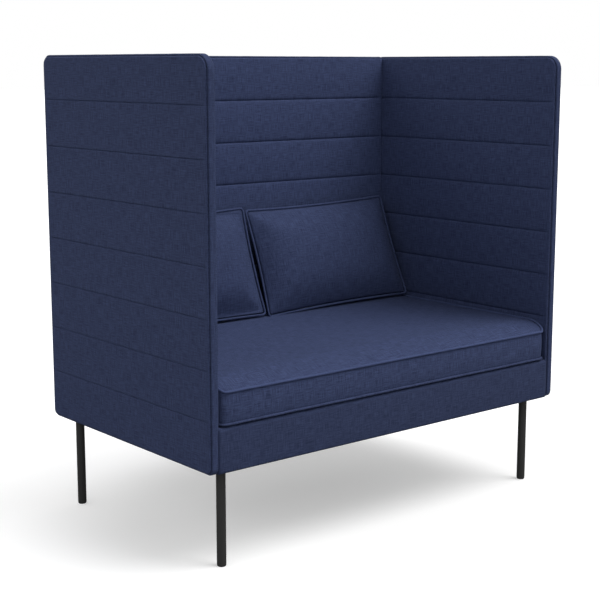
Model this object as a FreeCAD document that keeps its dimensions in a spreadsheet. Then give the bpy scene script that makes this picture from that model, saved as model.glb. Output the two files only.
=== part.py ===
import FreeCAD, Part
import Sketcher
import math
import os
from FreeCAD import Placement, Rotation, Vector

# Two-seat sofa with three tall quilted panels, on four thin tube legs. Millimetres, +Z up,
# +X to the right of a person who faces the sofa, front at -Y, origin on the floor at the centre.

SIZES = {
    # whole sofa
    "overall_width": 1300,
    "overall_depth": 790,
    "overall_height": 1304,
    "base_clearance": 264,
    # panels: board, foam on both faces, quilted covers and a band round the edge
    "core_thickness": 12,
    "foam_thickness": 5,
    "cover_thickness": 1.2,
    "layer_gap": 0.2,
    "outer_crest": 1.6,
    "inner_crest": 5,
    "channel_count": 8,
    "top_corner": 28,
    "bottom_corner": 20,
    "edge_width": 22,
    "edge_wall": 5,
    "edge_round": 6,
    "cover_inset": 2.5,
    "rear_recess": 10,
    "side_gap": 0.4,
    "overrun": 1,
    "hole_play": 0.6,
    # seat base
    "apron_recess": 3,
    "apron_foam": 8,
    "apron_round": 5,
    "apron_tuck": 46,
    "apron_hem": 10,
    "rail_thickness": 25,
    "rail_bottom": 268,
    "rail_top": 371,
    "brace_top": 340,
    "block_side": 70,
    "block_height": 40,
    "felt_bottom": 378.5,
    "felt_thickness": 5,
    "deck_top": 385,
    "dust_cover_top": 267.6,
    "dust_cover_thickness": 1,
    "dust_cover_in": 19.6,
    # springs and their clips
    "spring_count": 8,
    "spring_wire": 3.6,
    "spring_turns": 28,
    "spring_half_run": 14,
    "clip_length": 13,
    "clip_width": 18,
    "clip_sheet": 1.5,
    "clip_mouth": 4.2,
    # legs
    "leg_diameter": 25,
    "leg_wall": 2,
    "front_leg_in": 70,
    "front_leg_back": 57,
    "rear_leg_in": 50,
    "rear_leg_forward": 65,
    "plate_length": 90,
    "plate_width": 70,
    "plate_thickness": 3,
    "plate_edge": 3,
    "plate_screw_edge": 10,
    "plate_screw_step": 34,
    "plate_screw_pitch": 50,
    "screw_diameter": 5,
    "screw_length": 22,
    "screw_head_diameter": 9,
    "screw_head_height": 2.5,
    "insert_length": 25,
    "glide_height": 6,
    "glide_diameter": 24,
    "glide_round": 2,
    "glide_stud": 8,
    "glide_stud_length": 22,
    "glide_stop": 0.3,
    "thread_clearance": 0.05,
    # bolts between base and panels
    "bolt_diameter": 8,
    "bolt_head_diameter": 14,
    "bolt_head_height": 5,
    "bolt_end_in": 1,
    "side_bolt_reach": 210,
    "bolt_low": 295,
    "bolt_high": 345,
    "back_bolt_near": 150,
    "back_bolt_far": 440,
    "nut_diameter": 12,
    "spacer_diameter": 16,
    # hooks between the back panel and the side panels
    "hook_diameter": 6,
    "hook_depth": 40,
    "hook_head_diameter": 11,
    "hook_head_height": 3,
    "hook_play": 3,
    "hook_room": 2.5,
    "hook_low": 719,
    "hook_high": 1109,
    "keyhole_width": 26,
    "keyhole_height": 50,
    "keyhole_sheet": 2,
    "keyhole_room": 1,
    "keyhole_drop": 12.5,
    # seat cushion
    "seat_side_gap": 2,
    "seat_front_in": 4,
    "seat_rear_gap": 7,
    "seat_bottom": 386.5,
    "seat_seam_low": 390,
    "seat_seam_high": 474,
    "seat_crown": 30,
    "seat_end_crown": 3,
    "seat_shoulder": 70,
    "seat_bulge": 3,
    "seat_corner": 24,
    "piping_diameter": 7,
    "piping_side_in": 2.5,
    "piping_front_in": 1,
    # back cushions
    "pad_width": 587,
    "pad_height": 348,
    "pad_thickness": 132,
    "pad_edge": 14,
    "pad_tilt": 19,
    "pad_centre_x": 300.5,
    "pad_shift": 6,
    "pad_centre_y": 273,
    "pad_centre_z": 669,
    "pad_pinch": 5,
    "pad_corner": 14,
    "pad_cord_forward": 3,
    # zips
    "zip_width": 6,
    "zip_thickness": 1.6,
    "seat_zip_length": 780,
    "pad_zip_length": 320,
    "pad_zip_behind": 2.4,
    "pad_zip_drop": 1.6,
    "pad_slider_in": 18,
    "slider_length": 12,
    "slider_width": 9,
    "slider_height": 3.6,
    "slider_clearance": 0.15,
    "pull_length": 18,
    "pull_width": 5,
    "pull_thickness": 1.2,
}

PLACES = {
    # a panel from its middle plane: rim of a cover, then crest of a channel
    "valley": "dims.core_thickness / 2 + dims.foam_thickness + dims.cover_thickness + 2 * dims.layer_gap",
    "side_core_x": "dims.overall_width / 2 - dims.outer_crest - valley",
    "inner_x": "side_core_x - valley - dims.inner_crest",
    "back_core_y": "dims.overall_depth / 2 - dims.rear_recess - dims.outer_crest - valley",
    "inner_y": "back_core_y - valley - dims.inner_crest",
    "panel_height": "dims.overall_height - dims.base_clearance",
    "channel_height": "panel_height / dims.channel_count",
    "core_inset": "dims.edge_wall + dims.layer_gap",
    "core_inner_x": "side_core_x - dims.core_thickness / 2",
    "foam_inset": "dims.cover_thickness + dims.layer_gap",
    "foam_start": "dims.core_thickness / 2 + dims.layer_gap",
    "cover_start": "valley - dims.cover_thickness",
    "no_inset": "0",
    # the base between the panels
    "base_half": "inner_x - dims.side_gap",
    "base_width": "2 * base_half",
    "base_rear": "inner_y - dims.side_gap",
    "apron_y": "dims.apron_recess - dims.overall_depth / 2",
    "rail_front_y": "apron_y + dims.cover_thickness + dims.apron_foam + 2 * dims.layer_gap",
    "rail_in_x": "base_half - dims.rail_thickness",
    "rail_in_y": "base_rear - dims.rail_thickness",
    "side_rail_front": "rail_front_y + dims.rail_thickness",
    "side_rail_length": "rail_in_y - side_rail_front",
    "core_reach": "inner_x + dims.inner_crest + valley - dims.core_thickness / 2 - rail_in_x",
    # legs
    "plate_bottom": "dims.rail_bottom - dims.plate_thickness",
    "plate_mid_x": "base_half - dims.plate_edge - dims.plate_length / 2",
    "front_leg_x": "dims.overall_width / 2 - dims.front_leg_in",
    "front_leg_y": "dims.front_leg_back - dims.overall_depth / 2",
    "rear_leg_x": "dims.overall_width / 2 - dims.rear_leg_in",
    "rear_leg_y": "dims.overall_depth / 2 - dims.rear_leg_forward",
    "front_plate_y": "rail_front_y + dims.plate_edge + dims.plate_width / 2",
    "rear_plate_y": "base_rear - dims.plate_edge - dims.plate_width / 2",
    "leg_bottom": "dims.glide_height + dims.glide_stop",
    "leg_bore": "dims.leg_diameter / 2 - dims.leg_wall",
    # seat cushion
    "seat_half": "inner_x - dims.seat_side_gap",
    "seat_front": "dims.seat_front_in - dims.overall_depth / 2",
    "seat_rear": "inner_y - dims.seat_rear_gap",
    # back cushions inside their piping
    "pad_seam_in": "dims.piping_diameter + 2 * dims.layer_gap",
    "pad_half_width": "dims.pad_width / 2 - pad_seam_in",
    "pad_half_height": "dims.pad_height / 2 - pad_seam_in",
}

doc = FreeCAD.newDocument("acoustic_sofa")
dims = doc.addObject("Spreadsheet::Sheet", "dims")
for row, (alias, number) in enumerate(SIZES.items(), 1):
    dims.set(f"A{row}", alias)
    dims.set(f"B{row}", str(number))
    dims.setAlias(f"B{row}", alias)
place = doc.addObject("App::VarSet", "place")
for alias, text in PLACES.items():
    place.addProperty("App::PropertyFloat", alias)
    place.setExpression(alias, text)
doc.recompute()

nodes = []
AXIS_X, AXIS_Y, AXIS_Z = Vector(1, 0, 0), Vector(0, 1, 0), Vector(0, 0, 1)
UPRIGHT = Rotation()
ALONG_Y = Rotation(AXIS_X, -90)
SIDES = (("left", -1), ("right", 1))


def along_x(sign):
    """Turn that lays an upright rod along +X or -X."""
    return Rotation(AXIS_Y, 90 * sign)


def value(name):
    """Number behind a cell or a derived place, such as dims.edge_wall."""
    owner, alias = name.split(".")
    return float(getattr(doc.getObject(owner), alias))


def node(solid):
    """Marks a finished piece for export."""
    nodes.append(solid)
    return solid


def put(solid, spot, turn=UPRIGHT):
    """Turns a solid and ties its place to three expressions."""
    solid.Placement = Placement(Vector(), turn)
    for axis, text in zip("xyz", spot):
        solid.setExpression(f"Placement.Base.{axis}", text)
    return solid


def box(name, size, middle):
    """Box from its size and the middle of its underside."""
    solid = doc.addObject("Part::Box", name)
    for side, text in zip(("Length", "Width", "Height"), size):
        solid.setExpression(side, text)
    spot = (f"{middle[0]} - ({size[0]}) / 2", f"{middle[1]} - ({size[1]}) / 2", middle[2])
    return put(solid, spot)


def rod(name, diameter, length, foot, turn=UPRIGHT):
    """Round rod from the middle of its foot."""
    solid = doc.addObject("Part::Cylinder", name)
    solid.setExpression("Radius", f"({diameter}) / 2")
    solid.setExpression("Height", length)
    return put(solid, foot, turn)


def cut(name, base, tool):
    solid = doc.addObject("Part::Cut", name)
    solid.Base, solid.Tool = base, tool
    return solid


def common(name, base, tool):
    solid = doc.addObject("Part::Common", name)
    solid.Base, solid.Tool = base, tool
    return solid


def fuse(name, pieces):
    solid = doc.addObject("Part::MultiFuse", name)
    solid.Shapes = pieces
    return solid


def group(name, pieces):
    solid = doc.addObject("Part::Compound", name)
    solid.Links = pieces
    return solid


def formed(name, shape):
    """Piece with a sculpted shape that no sketch feature makes."""
    solid = doc.addObject("Part::Feature", name)
    solid.Shape = shape
    return solid


def attach(body, name, plane):
    """New sketch on one of the body's own planes."""
    sketch = body.newObject("Sketcher::SketchObject", name)
    origin = [item for item in body.Origin.OriginFeatures if item.Role == plane][0]
    sketch.AttachmentSupport = [(origin, "")]
    sketch.MapMode = "FlatFace"
    return sketch


def measure(sketch, kind, places, text, number):
    """Adds a dimension to a sketch and ties it to an expression."""
    index = sketch.addConstraint(Sketcher.Constraint(kind, *places, number))
    sketch.setExpression(f"Constraints[{index}]", text)


def line(x0, y0, x1, y1):
    return Part.LineSegment(Vector(x0, y0, 0), Vector(x1, y1, 0))


def arch(middle, spring, radius, half_angle):
    """Arc that bulges to +Y over a level chord, from right to left."""
    centre = Vector(middle, spring - radius * math.cos(half_angle), 0)
    circle = Part.Circle(centre, AXIS_Z, radius)
    return Part.ArcOfCircle(circle, math.pi / 2 - half_angle, math.pi / 2 + half_angle)


# Panels. Each one stands on edge and is drawn flat: X along the panel, Y up from the floor,
# Z from the middle of the board towards the face.

def panel_outline(body, name, length, inset):
    """Rounded outline of a panel, with larger corners at the top than at the bottom."""
    sketch = attach(body, name, "XY_Plane")
    rim = value(inset)
    half = value(length) / 2 - rim
    low, high = value("dims.base_clearance") + rim, value("dims.overall_height") - rim
    small, large = value("dims.bottom_corner") - rim, value("dims.top_corner") - rim
    quarter = math.pi / 2

    def corner(x, y, radius, quarters):
        circle = Part.Circle(Vector(x, y, 0), AXIS_Z, radius)
        return Part.ArcOfCircle(circle, quarters * quarter, (quarters + 1) * quarter)

    sketch.addGeometry([
        line(small - half, low, half - small, low),
        corner(half - small, low + small, small, 3),
        line(half, low + small, half, high - large),
        corner(half - large, high - large, large, 0),
        line(half - large, high, large - half, high),
        corner(large - half, high - large, large, 1),
        line(-half, high - large, -half, low + small),
        corner(small - half, low + small, small, 2),
    ])
    for index in range(8):
        sketch.addConstraint(Sketcher.Constraint("Tangent", index, 2, (index + 1) % 8, 1))
    for index, way in enumerate(("Horizontal", "Vertical", "Horizontal", "Vertical")):
        sketch.addConstraint(Sketcher.Constraint(way, 2 * index))
    for index in (1, 7):
        measure(sketch, "Radius", (index,), f"dims.bottom_corner - {inset}", small)
    for index in (3, 5):
        measure(sketch, "Radius", (index,), f"dims.top_corner - {inset}", large)
    measure(sketch, "DistanceY", (-1, 1, 0, 1), f"dims.base_clearance + {inset}", low)
    measure(sketch, "DistanceY", (-1, 1, 4, 1), f"dims.overall_height - {inset}", high)
    measure(sketch, "DistanceX", (-1, 1, 2, 1), f"{length} / 2 - {inset}", half)
    measure(sketch, "DistanceX", (6, 1, -1, 1), f"{length} / 2 - {inset}", half)
    return sketch


def channel_section(body, name, start, depth, crest, hollow):
    """Section of one quilted channel: an arch over a flat foot, or over an equal arch if hollow."""
    sketch = attach(body, name, "YZ_Plane")
    low, tall = value("dims.base_clearance"), value("place.channel_height")
    foot, top = value(start), value(start) + value(depth)
    rise = value(crest)
    radius = (tall ** 2 / 4 + rise ** 2) / (2 * rise)
    half_angle = math.asin(tall / 2 / radius)
    middle = low + tall / 2
    under = arch(middle, foot, radius, half_angle) if hollow else line(low + tall, foot, low, foot)
    sketch.addGeometry([
        line(low + tall, foot, low + tall, top),
        arch(middle, top, radius, half_angle),
        line(low, top, low, foot),
        under,
    ])
    for first, second in (((0, 2), (1, 1)), ((1, 2), (2, 1)), ((2, 2), (3, 2)), ((3, 1), (0, 1))):
        sketch.addConstraint(Sketcher.Constraint("Coincident", *first, *second))
    for index in (0, 2):
        sketch.addConstraint(Sketcher.Constraint("Vertical", index))
    sketch.addConstraint(Sketcher.Constraint("Equal", 0, 2))
    radius_text = f"((place.channel_height / 2) ^ 2 + {crest} ^ 2) / (2 * {crest})"
    measure(sketch, "Radius", (1,), radius_text, radius)
    if hollow:
        measure(sketch, "Radius", (3,), radius_text, radius)
        sketch.addConstraint(Sketcher.Constraint("Horizontal", 0, 1, 2, 2))
    else:
        sketch.addConstraint(Sketcher.Constraint("Horizontal", 3))
    measure(sketch, "DistanceX", (-1, 1, 2, 2), "dims.base_clearance", low)
    measure(sketch, "DistanceX", (2, 2, 0, 1), "place.channel_height", tall)
    measure(sketch, "DistanceY", (-1, 1, 2, 2), start, foot)
    measure(sketch, "DistanceY", (0, 1, 0, 2), depth, top - foot)
    return sketch


def padded(body, sketch, length, start=None):
    """Pads a sketch by a length, from an offset along its normal."""
    if start:
        sketch.setExpression("AttachmentOffset.Base.z", start)
    pad = body.newObject("PartDesign::Pad", f"{body.Name}_pad")
    pad.Profile = sketch
    pad.setExpression("Length", length)
    body.Tip = pad
    return pad


def new_body(name, turn, spot):
    return put(doc.addObject("PartDesign::Body", name), spot, turn)


def outline_slab(name, length, inset, thickness, start, turn, spot):
    """Flat slab with a panel's outline, reduced by an inset."""
    body = new_body(name, turn, spot)
    padded(body, panel_outline(body, f"{name}_outline", length, inset), thickness, start)
    return body


def quilted_layer(name, length, inset, layer, turn, spot):
    """Layer of level channels from edge to edge of a panel, trimmed to the rounded outline."""
    body = new_body(f"{name}_channels", turn, spot)
    sketch = channel_section(body, f"{name}_section", *layer)
    pad = padded(body, sketch, length, f"-{length} / 2")
    pattern = body.newObject("PartDesign::LinearPattern", f"{name}_rows")
    pattern.Originals = [pad]
    pattern.Direction = ([item for item in body.Origin.OriginFeatures if item.Role == "Y_Axis"][0], [""])
    pattern.setExpression("Occurrences", "dims.channel_count")
    pattern.setExpression("Length", "place.panel_height - place.channel_height")
    body.Tip = pattern
    trim = outline_slab(f"{name}_trim", length, inset, "2 * dims.edge_width", "0", turn, spot)
    return body, trim


LEVEL = 0.99


def edge_band(name, length, turn, spot):
    """Rounded band of cover cloth over foam that closes the edge of a panel all round."""
    body = outline_slab(name, length, "place.no_inset", "dims.edge_width", "-dims.edge_width / 2", turn, spot)
    doc.recompute()
    pad = body.Tip
    flats = [f"Face{index}" for index, face in enumerate(pad.Shape.Faces, 1)
             if abs(face.normalAt(0, 0).z) > LEVEL]
    rounds = body.newObject("PartDesign::Fillet", f"{name}_rounds")
    rounds.Base = (pad, flats)
    rounds.setExpression("Radius", "dims.edge_round")
    body.Tip = rounds
    inner = panel_outline(body, f"{name}_inner", length, "dims.edge_wall")
    inner.setExpression("AttachmentOffset.Base.z", "-dims.edge_width")
    pocket = body.newObject("PartDesign::Pocket", f"{name}_opening")
    pocket.Profile = inner
    pocket.Reversed = True
    pocket.setExpression("Length", "2 * dims.edge_width")
    body.Tip = pocket
    return body


TOWARDS_RIGHT = Rotation(AXIS_Y, AXIS_Z, AXIS_X, "XYZ")
TOWARDS_LEFT = Rotation(-AXIS_Y, AXIS_Z, -AXIS_X, "XYZ")
TOWARDS_FRONT = Rotation(AXIS_X, AXIS_Z, -AXIS_Y, "XYZ")
TOWARDS_REAR = Rotation(-AXIS_X, AXIS_Z, AXIS_Y, "XYZ")
PANELS = {
    "left_panel": ("dims.overall_depth", ("-place.side_core_x", "0", "0"), TOWARDS_RIGHT, TOWARDS_LEFT),
    "right_panel": ("dims.overall_depth", ("place.side_core_x", "0", "0"), TOWARDS_LEFT, TOWARDS_RIGHT),
    "back_panel": ("place.base_width", ("0", "place.back_core_y", "0"), TOWARDS_FRONT, TOWARDS_REAR),
}

def on_bolts(name, where, diameter, start, length):
    """Rods on the bolt axes of one panel, from a distance outside the inner face of its rail."""
    rods = []
    if where == "back":
        for reach in ("dims.back_bolt_near", "dims.back_bolt_far"):
            for sign in (-1, 1):
                foot = (f"{sign} * {reach}", f"place.rail_in_y + {start}",
                        "(dims.bolt_low + dims.bolt_high) / 2")
                rods.append(rod(f"{name}_{len(rods)}", diameter, length, foot, ALONG_Y))
        return rods
    sign = dict(SIDES)[where]
    for level in ("dims.bolt_low", "dims.bolt_high"):
        for side in (-1, 1):
            foot = (f"{sign} * (place.rail_in_x + {start})", f"{side} * dims.side_bolt_reach", level)
            rods.append(rod(f"{name}_{len(rods)}", diameter, length, foot, along_x(sign)))
    return rods


def on_hooks(name, side, diameter, start, length):
    """Rods on the axes of the hooks that join the back panel to one side panel."""
    sign = dict(SIDES)[side]
    return [rod(f"{name}_{index}", diameter, length, (f"{sign} * ({start})", "place.back_core_y", level),
                along_x(sign))
            for index, level in enumerate(("dims.hook_low", "dims.hook_high"))]


def on_keyholes(name, side, margin):
    """Boxes at the keyhole plates of one side panel, larger than the plates by a margin."""
    sign = dict(SIDES)[side]
    size = [f"dims.{edge} + 2 * {margin}" for edge in ("keyhole_sheet", "keyhole_width", "keyhole_height")]
    return [box(f"{name}_{index}", size,
                (f"{sign} * (place.core_inner_x - dims.layer_gap - dims.keyhole_sheet / 2)",
                 "place.back_core_y", f"{level} - dims.keyhole_height / 2 - {margin}"))
            for index, level in enumerate(("dims.hook_low", "dims.hook_high"))]


FOAM_IN = ("place.foam_start", "dims.foam_thickness", "dims.inner_crest", False)
FOAM_OUT = ("place.foam_start", "dims.foam_thickness", "dims.outer_crest", False)
COVER_IN = ("place.cover_start", "dims.cover_thickness", "dims.inner_crest", True)
COVER_OUT = ("place.cover_start", "dims.cover_thickness", "dims.outer_crest", True)
HOOK_NECK = "dims.hook_diameter + dims.layer_gap"
SPACER_HOLE = "dims.spacer_diameter + dims.hole_play"
for name, (length, spot, inward, outward) in PANELS.items():
    where = name.split("_")[0]
    board = outline_slab(f"{name}_board", length, "place.core_inset", "dims.core_thickness",
                         "-dims.core_thickness / 2", inward, spot)
    core_holes = on_bolts(f"{name}_nut_hole", where, "dims.nut_diameter + dims.layer_gap",
                          "place.core_reach - dims.overrun", "dims.core_thickness + 2 * dims.overrun")
    foam_holes = on_bolts(f"{name}_foam_hole", where, SPACER_HOLE, "dims.rail_thickness", "dims.edge_width")
    cover_holes = on_bolts(f"{name}_cover_hole", where, SPACER_HOLE, "dims.rail_thickness", "dims.edge_width")
    band = edge_band(f"{name}_edge_band" if where != "back" else "back_band_blank", length, inward, spot)
    if where == "back":
        band_holes = []
        for side, sign in SIDES:
            core_holes += on_hooks(f"back_hook_hole_{side}", side, HOOK_NECK,
                                   "place.base_half - dims.hook_depth", "dims.hook_depth")
            band_holes += on_hooks(f"band_hook_hole_{side}", side, HOOK_NECK,
                                   "place.base_half - dims.hook_depth", "dims.hook_depth + dims.overrun")
        band = cut("back_panel_edge_band", band, group("back_band_holes", band_holes))
    else:
        core_holes += on_hooks(f"{name}_hook_pocket", where, "dims.hook_head_diameter + dims.hook_play",
                               "place.core_inner_x - dims.overrun", "dims.hook_head_height + dims.hook_room")
        foam_holes += on_keyholes(f"{name}_keyhole_pocket", where, "dims.keyhole_room")
        cover_holes += on_hooks(f"{name}_hook_slit", where, HOOK_NECK, "place.base_half", "dims.edge_width")
        foam_holes += on_hooks(f"{name}_hook_way", where, HOOK_NECK, "place.base_half", "dims.edge_width")
    node(cut(f"{name}_core", board, group(f"{name}_core_holes", core_holes)))
    foam_in = common(f"{name}_foam_in",
                     *quilted_layer(f"{name}_fi", length, "place.core_inset", FOAM_IN, inward, spot))
    foam_in = cut(f"{name}_foam_bored", foam_in, group(f"{name}_foam_holes", foam_holes))
    foam_out = common(f"{name}_foam_out",
                      *quilted_layer(f"{name}_fo", length, "place.core_inset", FOAM_OUT, outward, spot))
    node(group(f"{name}_foam", [foam_in, foam_out]))
    cover_in = common(f"{name}_cover_in",
                      *quilted_layer(f"{name}_ci", length, "dims.cover_inset", COVER_IN, inward, spot))
    node(cut(f"{name}_inner_cover", cover_in, group(f"{name}_cover_holes", cover_holes)))
    node(common(f"{name}_outer_cover",
                *quilted_layer(f"{name}_co", length, "dims.cover_inset", COVER_OUT, outward, spot)))
    node(band)

# Fixings between base and panels: bolts from inside the rails, spacer sleeves through the padding,
# threaded sleeves in the boards, and hooks of the back panel in keyhole plates of the side panels.

bolts, nuts, spacers, hooks, keyholes = [], [], [], [], []
for where in ("left", "right", "back"):
    heads = on_bolts(f"{where}_bolt_head", where, "dims.bolt_head_diameter", "-dims.bolt_head_height",
                     "dims.bolt_head_height")
    shanks = on_bolts(f"{where}_bolt_shank", where, "dims.bolt_diameter", "0",
                      "place.core_reach + dims.core_thickness - dims.bolt_end_in")
    bolts += [fuse(f"{where}_bolt_{index}", pair) for index, pair in enumerate(zip(heads, shanks))]
    for name, diameter, start, length, found in (
            ("nut", "dims.nut_diameter", "place.core_reach + dims.layer_gap",
             "dims.core_thickness - 2 * dims.layer_gap", nuts),
            ("spacer", "dims.spacer_diameter", "dims.rail_thickness + dims.thread_clearance",
             "place.core_reach - dims.rail_thickness - 2 * dims.thread_clearance", spacers)):
        sleeves = on_bolts(f"{where}_{name}_blank", where, diameter, start, length)
        bores = on_bolts(f"{where}_{name}_bore", where, "dims.bolt_diameter + dims.layer_gap", start, length)
        found += [cut(f"{where}_{name}_{index}", *pair) for index, pair in enumerate(zip(sleeves, bores))]
for side, sign in SIDES:
    necks = on_hooks(f"{side}_hook_neck", side, "dims.hook_diameter", "place.base_half - dims.hook_depth",
                     "place.core_inner_x - place.base_half + dims.hook_depth + dims.layer_gap")
    heads = on_hooks(f"{side}_hook_head", side, "dims.hook_head_diameter",
                     "place.core_inner_x + dims.layer_gap", "dims.hook_head_height")
    hooks += [fuse(f"{side}_hook_{index}", pair) for index, pair in enumerate(zip(necks, heads))]
    plates = on_keyholes(f"{side}_keyhole_blank", side, "0")
    slots = on_hooks(f"{side}_keyhole_slot", side, HOOK_NECK, "place.base_half", "dims.edge_width")
    for index, (plate, slot) in enumerate(zip(plates, slots)):
        level = ("dims.hook_low", "dims.hook_high")[index]
        entry = rod(f"{side}_keyhole_entry_{index}",
                    "dims.hook_head_diameter + dims.overrun", "dims.edge_width",
                    (f"{sign} * place.base_half", "place.back_core_y", f"{level} - dims.keyhole_drop"),
                    along_x(sign))
        throat = box(f"{side}_keyhole_throat_{index}", ("dims.edge_width", HOOK_NECK, "dims.keyhole_drop"),
                     (f"{sign} * place.core_inner_x", "place.back_core_y", f"{level} - dims.keyhole_drop"))
        keyholes.append(cut(f"{side}_keyhole_{index}", plate,
                            group(f"{side}_keyhole_way_{index}", [slot, entry, throat])))
node(group("panel_bolts", bolts))
node(group("panel_threaded_sleeves", nuts))
node(group("panel_spacers", spacers))
node(group("panel_hooks", hooks))
node(group("panel_keyhole_plates", keyholes))

# Seat base: a timber frame with corner blocks, sinuous springs, felt, deck cloth and a padded apron.

CORNERS = {
    f"{end}_{side}": (f"{sign} * place.{end}_leg_x", f"place.{end}_leg_y", f"{sign} * place.plate_mid_x",
                      f"place.{end}_plate_y", sign, end)
    for end in ("front", "rear") for side, sign in SIDES
}


def on_screws(name, diameter, start, length):
    """Rods on the axes of the four screws of every leg plate, from a height over the plate's underside."""
    rods = []
    for leg_x, leg_y, plate_x, plate_y, sign, end in CORNERS.values():
        for step in ("0", "dims.plate_screw_step"):
            for row in (-1, 1):
                foot = (f"{plate_x} - {sign} * (dims.plate_length / 2 - dims.plate_screw_edge - {step})",
                        f"{plate_y} + {row} * dims.plate_screw_pitch / 2", f"place.plate_bottom + {start}")
                rods.append(rod(f"{name}_{len(rods)}", diameter, length, foot))
    return rods


def screw_holes(name):
    return on_screws(name, "dims.screw_diameter + dims.layer_gap", "-dims.overrun",
                     "dims.screw_length + 2 * dims.overrun")


def rail(name, length, width, x, y, holes, top="dims.rail_top"):
    """Timber rail on edge, bored for bolts and screws."""
    timber = box(f"{name}_timber", (length, width, f"{top} - dims.rail_bottom"), (x, y, "dims.rail_bottom"))
    return cut(name, timber, group(f"{name}_holes", holes)) if holes else timber


BOLT_HOLE = ("dims.bolt_diameter + dims.hole_play", "-dims.overrun", "dims.rail_thickness + 2 * dims.overrun")
SIDE_RAIL_Y = "(place.side_rail_front + place.rail_in_y) / 2"
node(rail("front_rail", "place.base_width", "dims.rail_thickness", "0",
          "place.rail_front_y + dims.rail_thickness / 2", screw_holes("front_rail_screw_hole")))
node(rail("rear_rail", "place.base_width", "dims.rail_thickness", "0",
          "place.base_rear - dims.rail_thickness / 2",
          screw_holes("rear_rail_screw_hole") + on_bolts("rear_rail_bolt_hole", "back", *BOLT_HOLE)))
node(group("side_rails", [
    rail(f"{side}_rail", "dims.rail_thickness", "place.side_rail_length",
         f"{sign} * (place.base_half - dims.rail_thickness / 2)", SIDE_RAIL_Y,
         on_bolts(f"{side}_rail_bolt_hole", side, *BOLT_HOLE))
    for side, sign in SIDES]))
brace = rail("centre_rail", "dims.rail_thickness", "place.side_rail_length", "0", SIDE_RAIL_Y, [],
             "dims.brace_top")
brace.Label = "centre_rail"
node(brace)
blocks = [
    box(f"{corner}_block", ("dims.block_side", "dims.block_side", "dims.block_height"),
        (f"{sign} * (place.rail_in_x - dims.block_side / 2)",
         ("place.side_rail_front + dims.block_side / 2" if end == "front"
          else "place.rail_in_y - dims.block_side / 2"),
         "dims.rail_bottom"))
    for corner, (leg_x, leg_y, plate_x, plate_y, sign, end) in CORNERS.items()]
node(cut("corner_blocks", group("corner_block_timber", blocks), group("corner_block_holes",
                                                                    screw_holes("block_screw_hole"))))


def spring_path(half_run, pitch, turns):
    """Zigzag of level runs joined by half turns, from front to rear."""
    edges = []
    for turn in range(turns + 1):
        way = 1 if turn % 2 == 0 else -1
        y = turn * pitch
        edges.append(Part.LineSegment(Vector(-way * half_run, y, 0), Vector(way * half_run, y, 0)).toShape())
        if turn < turns:
            bend = Vector(way * (half_run + pitch / 2), y + pitch / 2, 0)
            ends = [Vector(way * half_run, y + rise, 0) for rise in (0, pitch)]
            edges.append(Part.Arc(ends[0], bend, ends[1]).toShape())
    return Part.Wire(edges)


CLIP_FRONT = "(place.rail_front_y + dims.rail_thickness / 2)"
CLIP_REAR = "(place.base_rear - dims.rail_thickness / 2)"
rail_mid = value("dims.rail_thickness") / 2
spring_front = value("place.rail_front_y") + rail_mid
spring_span = value("place.base_rear") - rail_mid - spring_front
spring_count = int(value("dims.spring_count"))
spring_pitch = 2 * value("place.rail_in_x") / spring_count
path = spring_path(value("dims.spring_half_run"), spring_span / value("dims.spring_turns"),
                   int(value("dims.spring_turns")))
wire_ring = Part.Wire(Part.makeCircle(value("dims.spring_wire") / 2, path.Vertexes[0].Point, AXIS_X))
spring = path.makePipeShell([wire_ring], True, False)
wire_level = value("dims.rail_top") + value("dims.clip_sheet") + value("dims.clip_mouth") / 2
springs, clips = [], []
for index in range(spring_count):
    x = (index - (spring_count - 1) / 2) * spring_pitch
    springs.append(spring.translated(Vector(x, spring_front, wire_level)))
    x_text = f"({index} - (dims.spring_count - 1) / 2) * 2 * place.rail_in_x / dims.spring_count"
    for end, sign, y_text in (("front", 1, CLIP_FRONT), ("rear", -1, CLIP_REAR)):
        name = f"{end}_clip_{index}"
        riser_y = f"{y_text} + {sign} * (dims.spring_wire + dims.clip_sheet) / 2 + {sign} * dims.layer_gap"
        leaf_top = "dims.rail_top + dims.clip_sheet + dims.clip_mouth"
        sheets = [
            box(f"{name}_foot", ("dims.clip_width", "dims.clip_length", "dims.clip_sheet"),
                (x_text, f"{riser_y} - {sign} * (dims.clip_length - dims.clip_sheet) / 2", "dims.rail_top")),
            box(f"{name}_riser",
                ("dims.clip_width", "dims.clip_sheet", "dims.clip_mouth + 2 * dims.clip_sheet"),
                (x_text, riser_y, "dims.rail_top")),
            box(f"{name}_leaf", ("dims.clip_width", "dims.clip_length / 2", "dims.clip_sheet"),
                (x_text, f"{riser_y} - {sign} * (dims.clip_length / 2 - dims.clip_sheet) / 2", leaf_top)),
        ]
        clips.append(fuse(name, sheets))
node(formed("seat_springs", Part.makeCompound(springs)))
node(group("spring_clips", clips))
node(box("deck_felt", ("place.base_width", "place.base_rear - place.rail_front_y", "dims.felt_thickness"),
         ("0", "(place.base_rear + place.rail_front_y) / 2", "dims.felt_bottom")))
DECK_FRONT = "(place.apron_y + dims.apron_tuck + dims.layer_gap)"
node(box("deck_cloth", ("place.base_width", f"place.base_rear - {DECK_FRONT}", "dims.cover_thickness"),
         ("0", f"(place.base_rear + {DECK_FRONT}) / 2", "dims.deck_top - dims.cover_thickness")))


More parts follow.
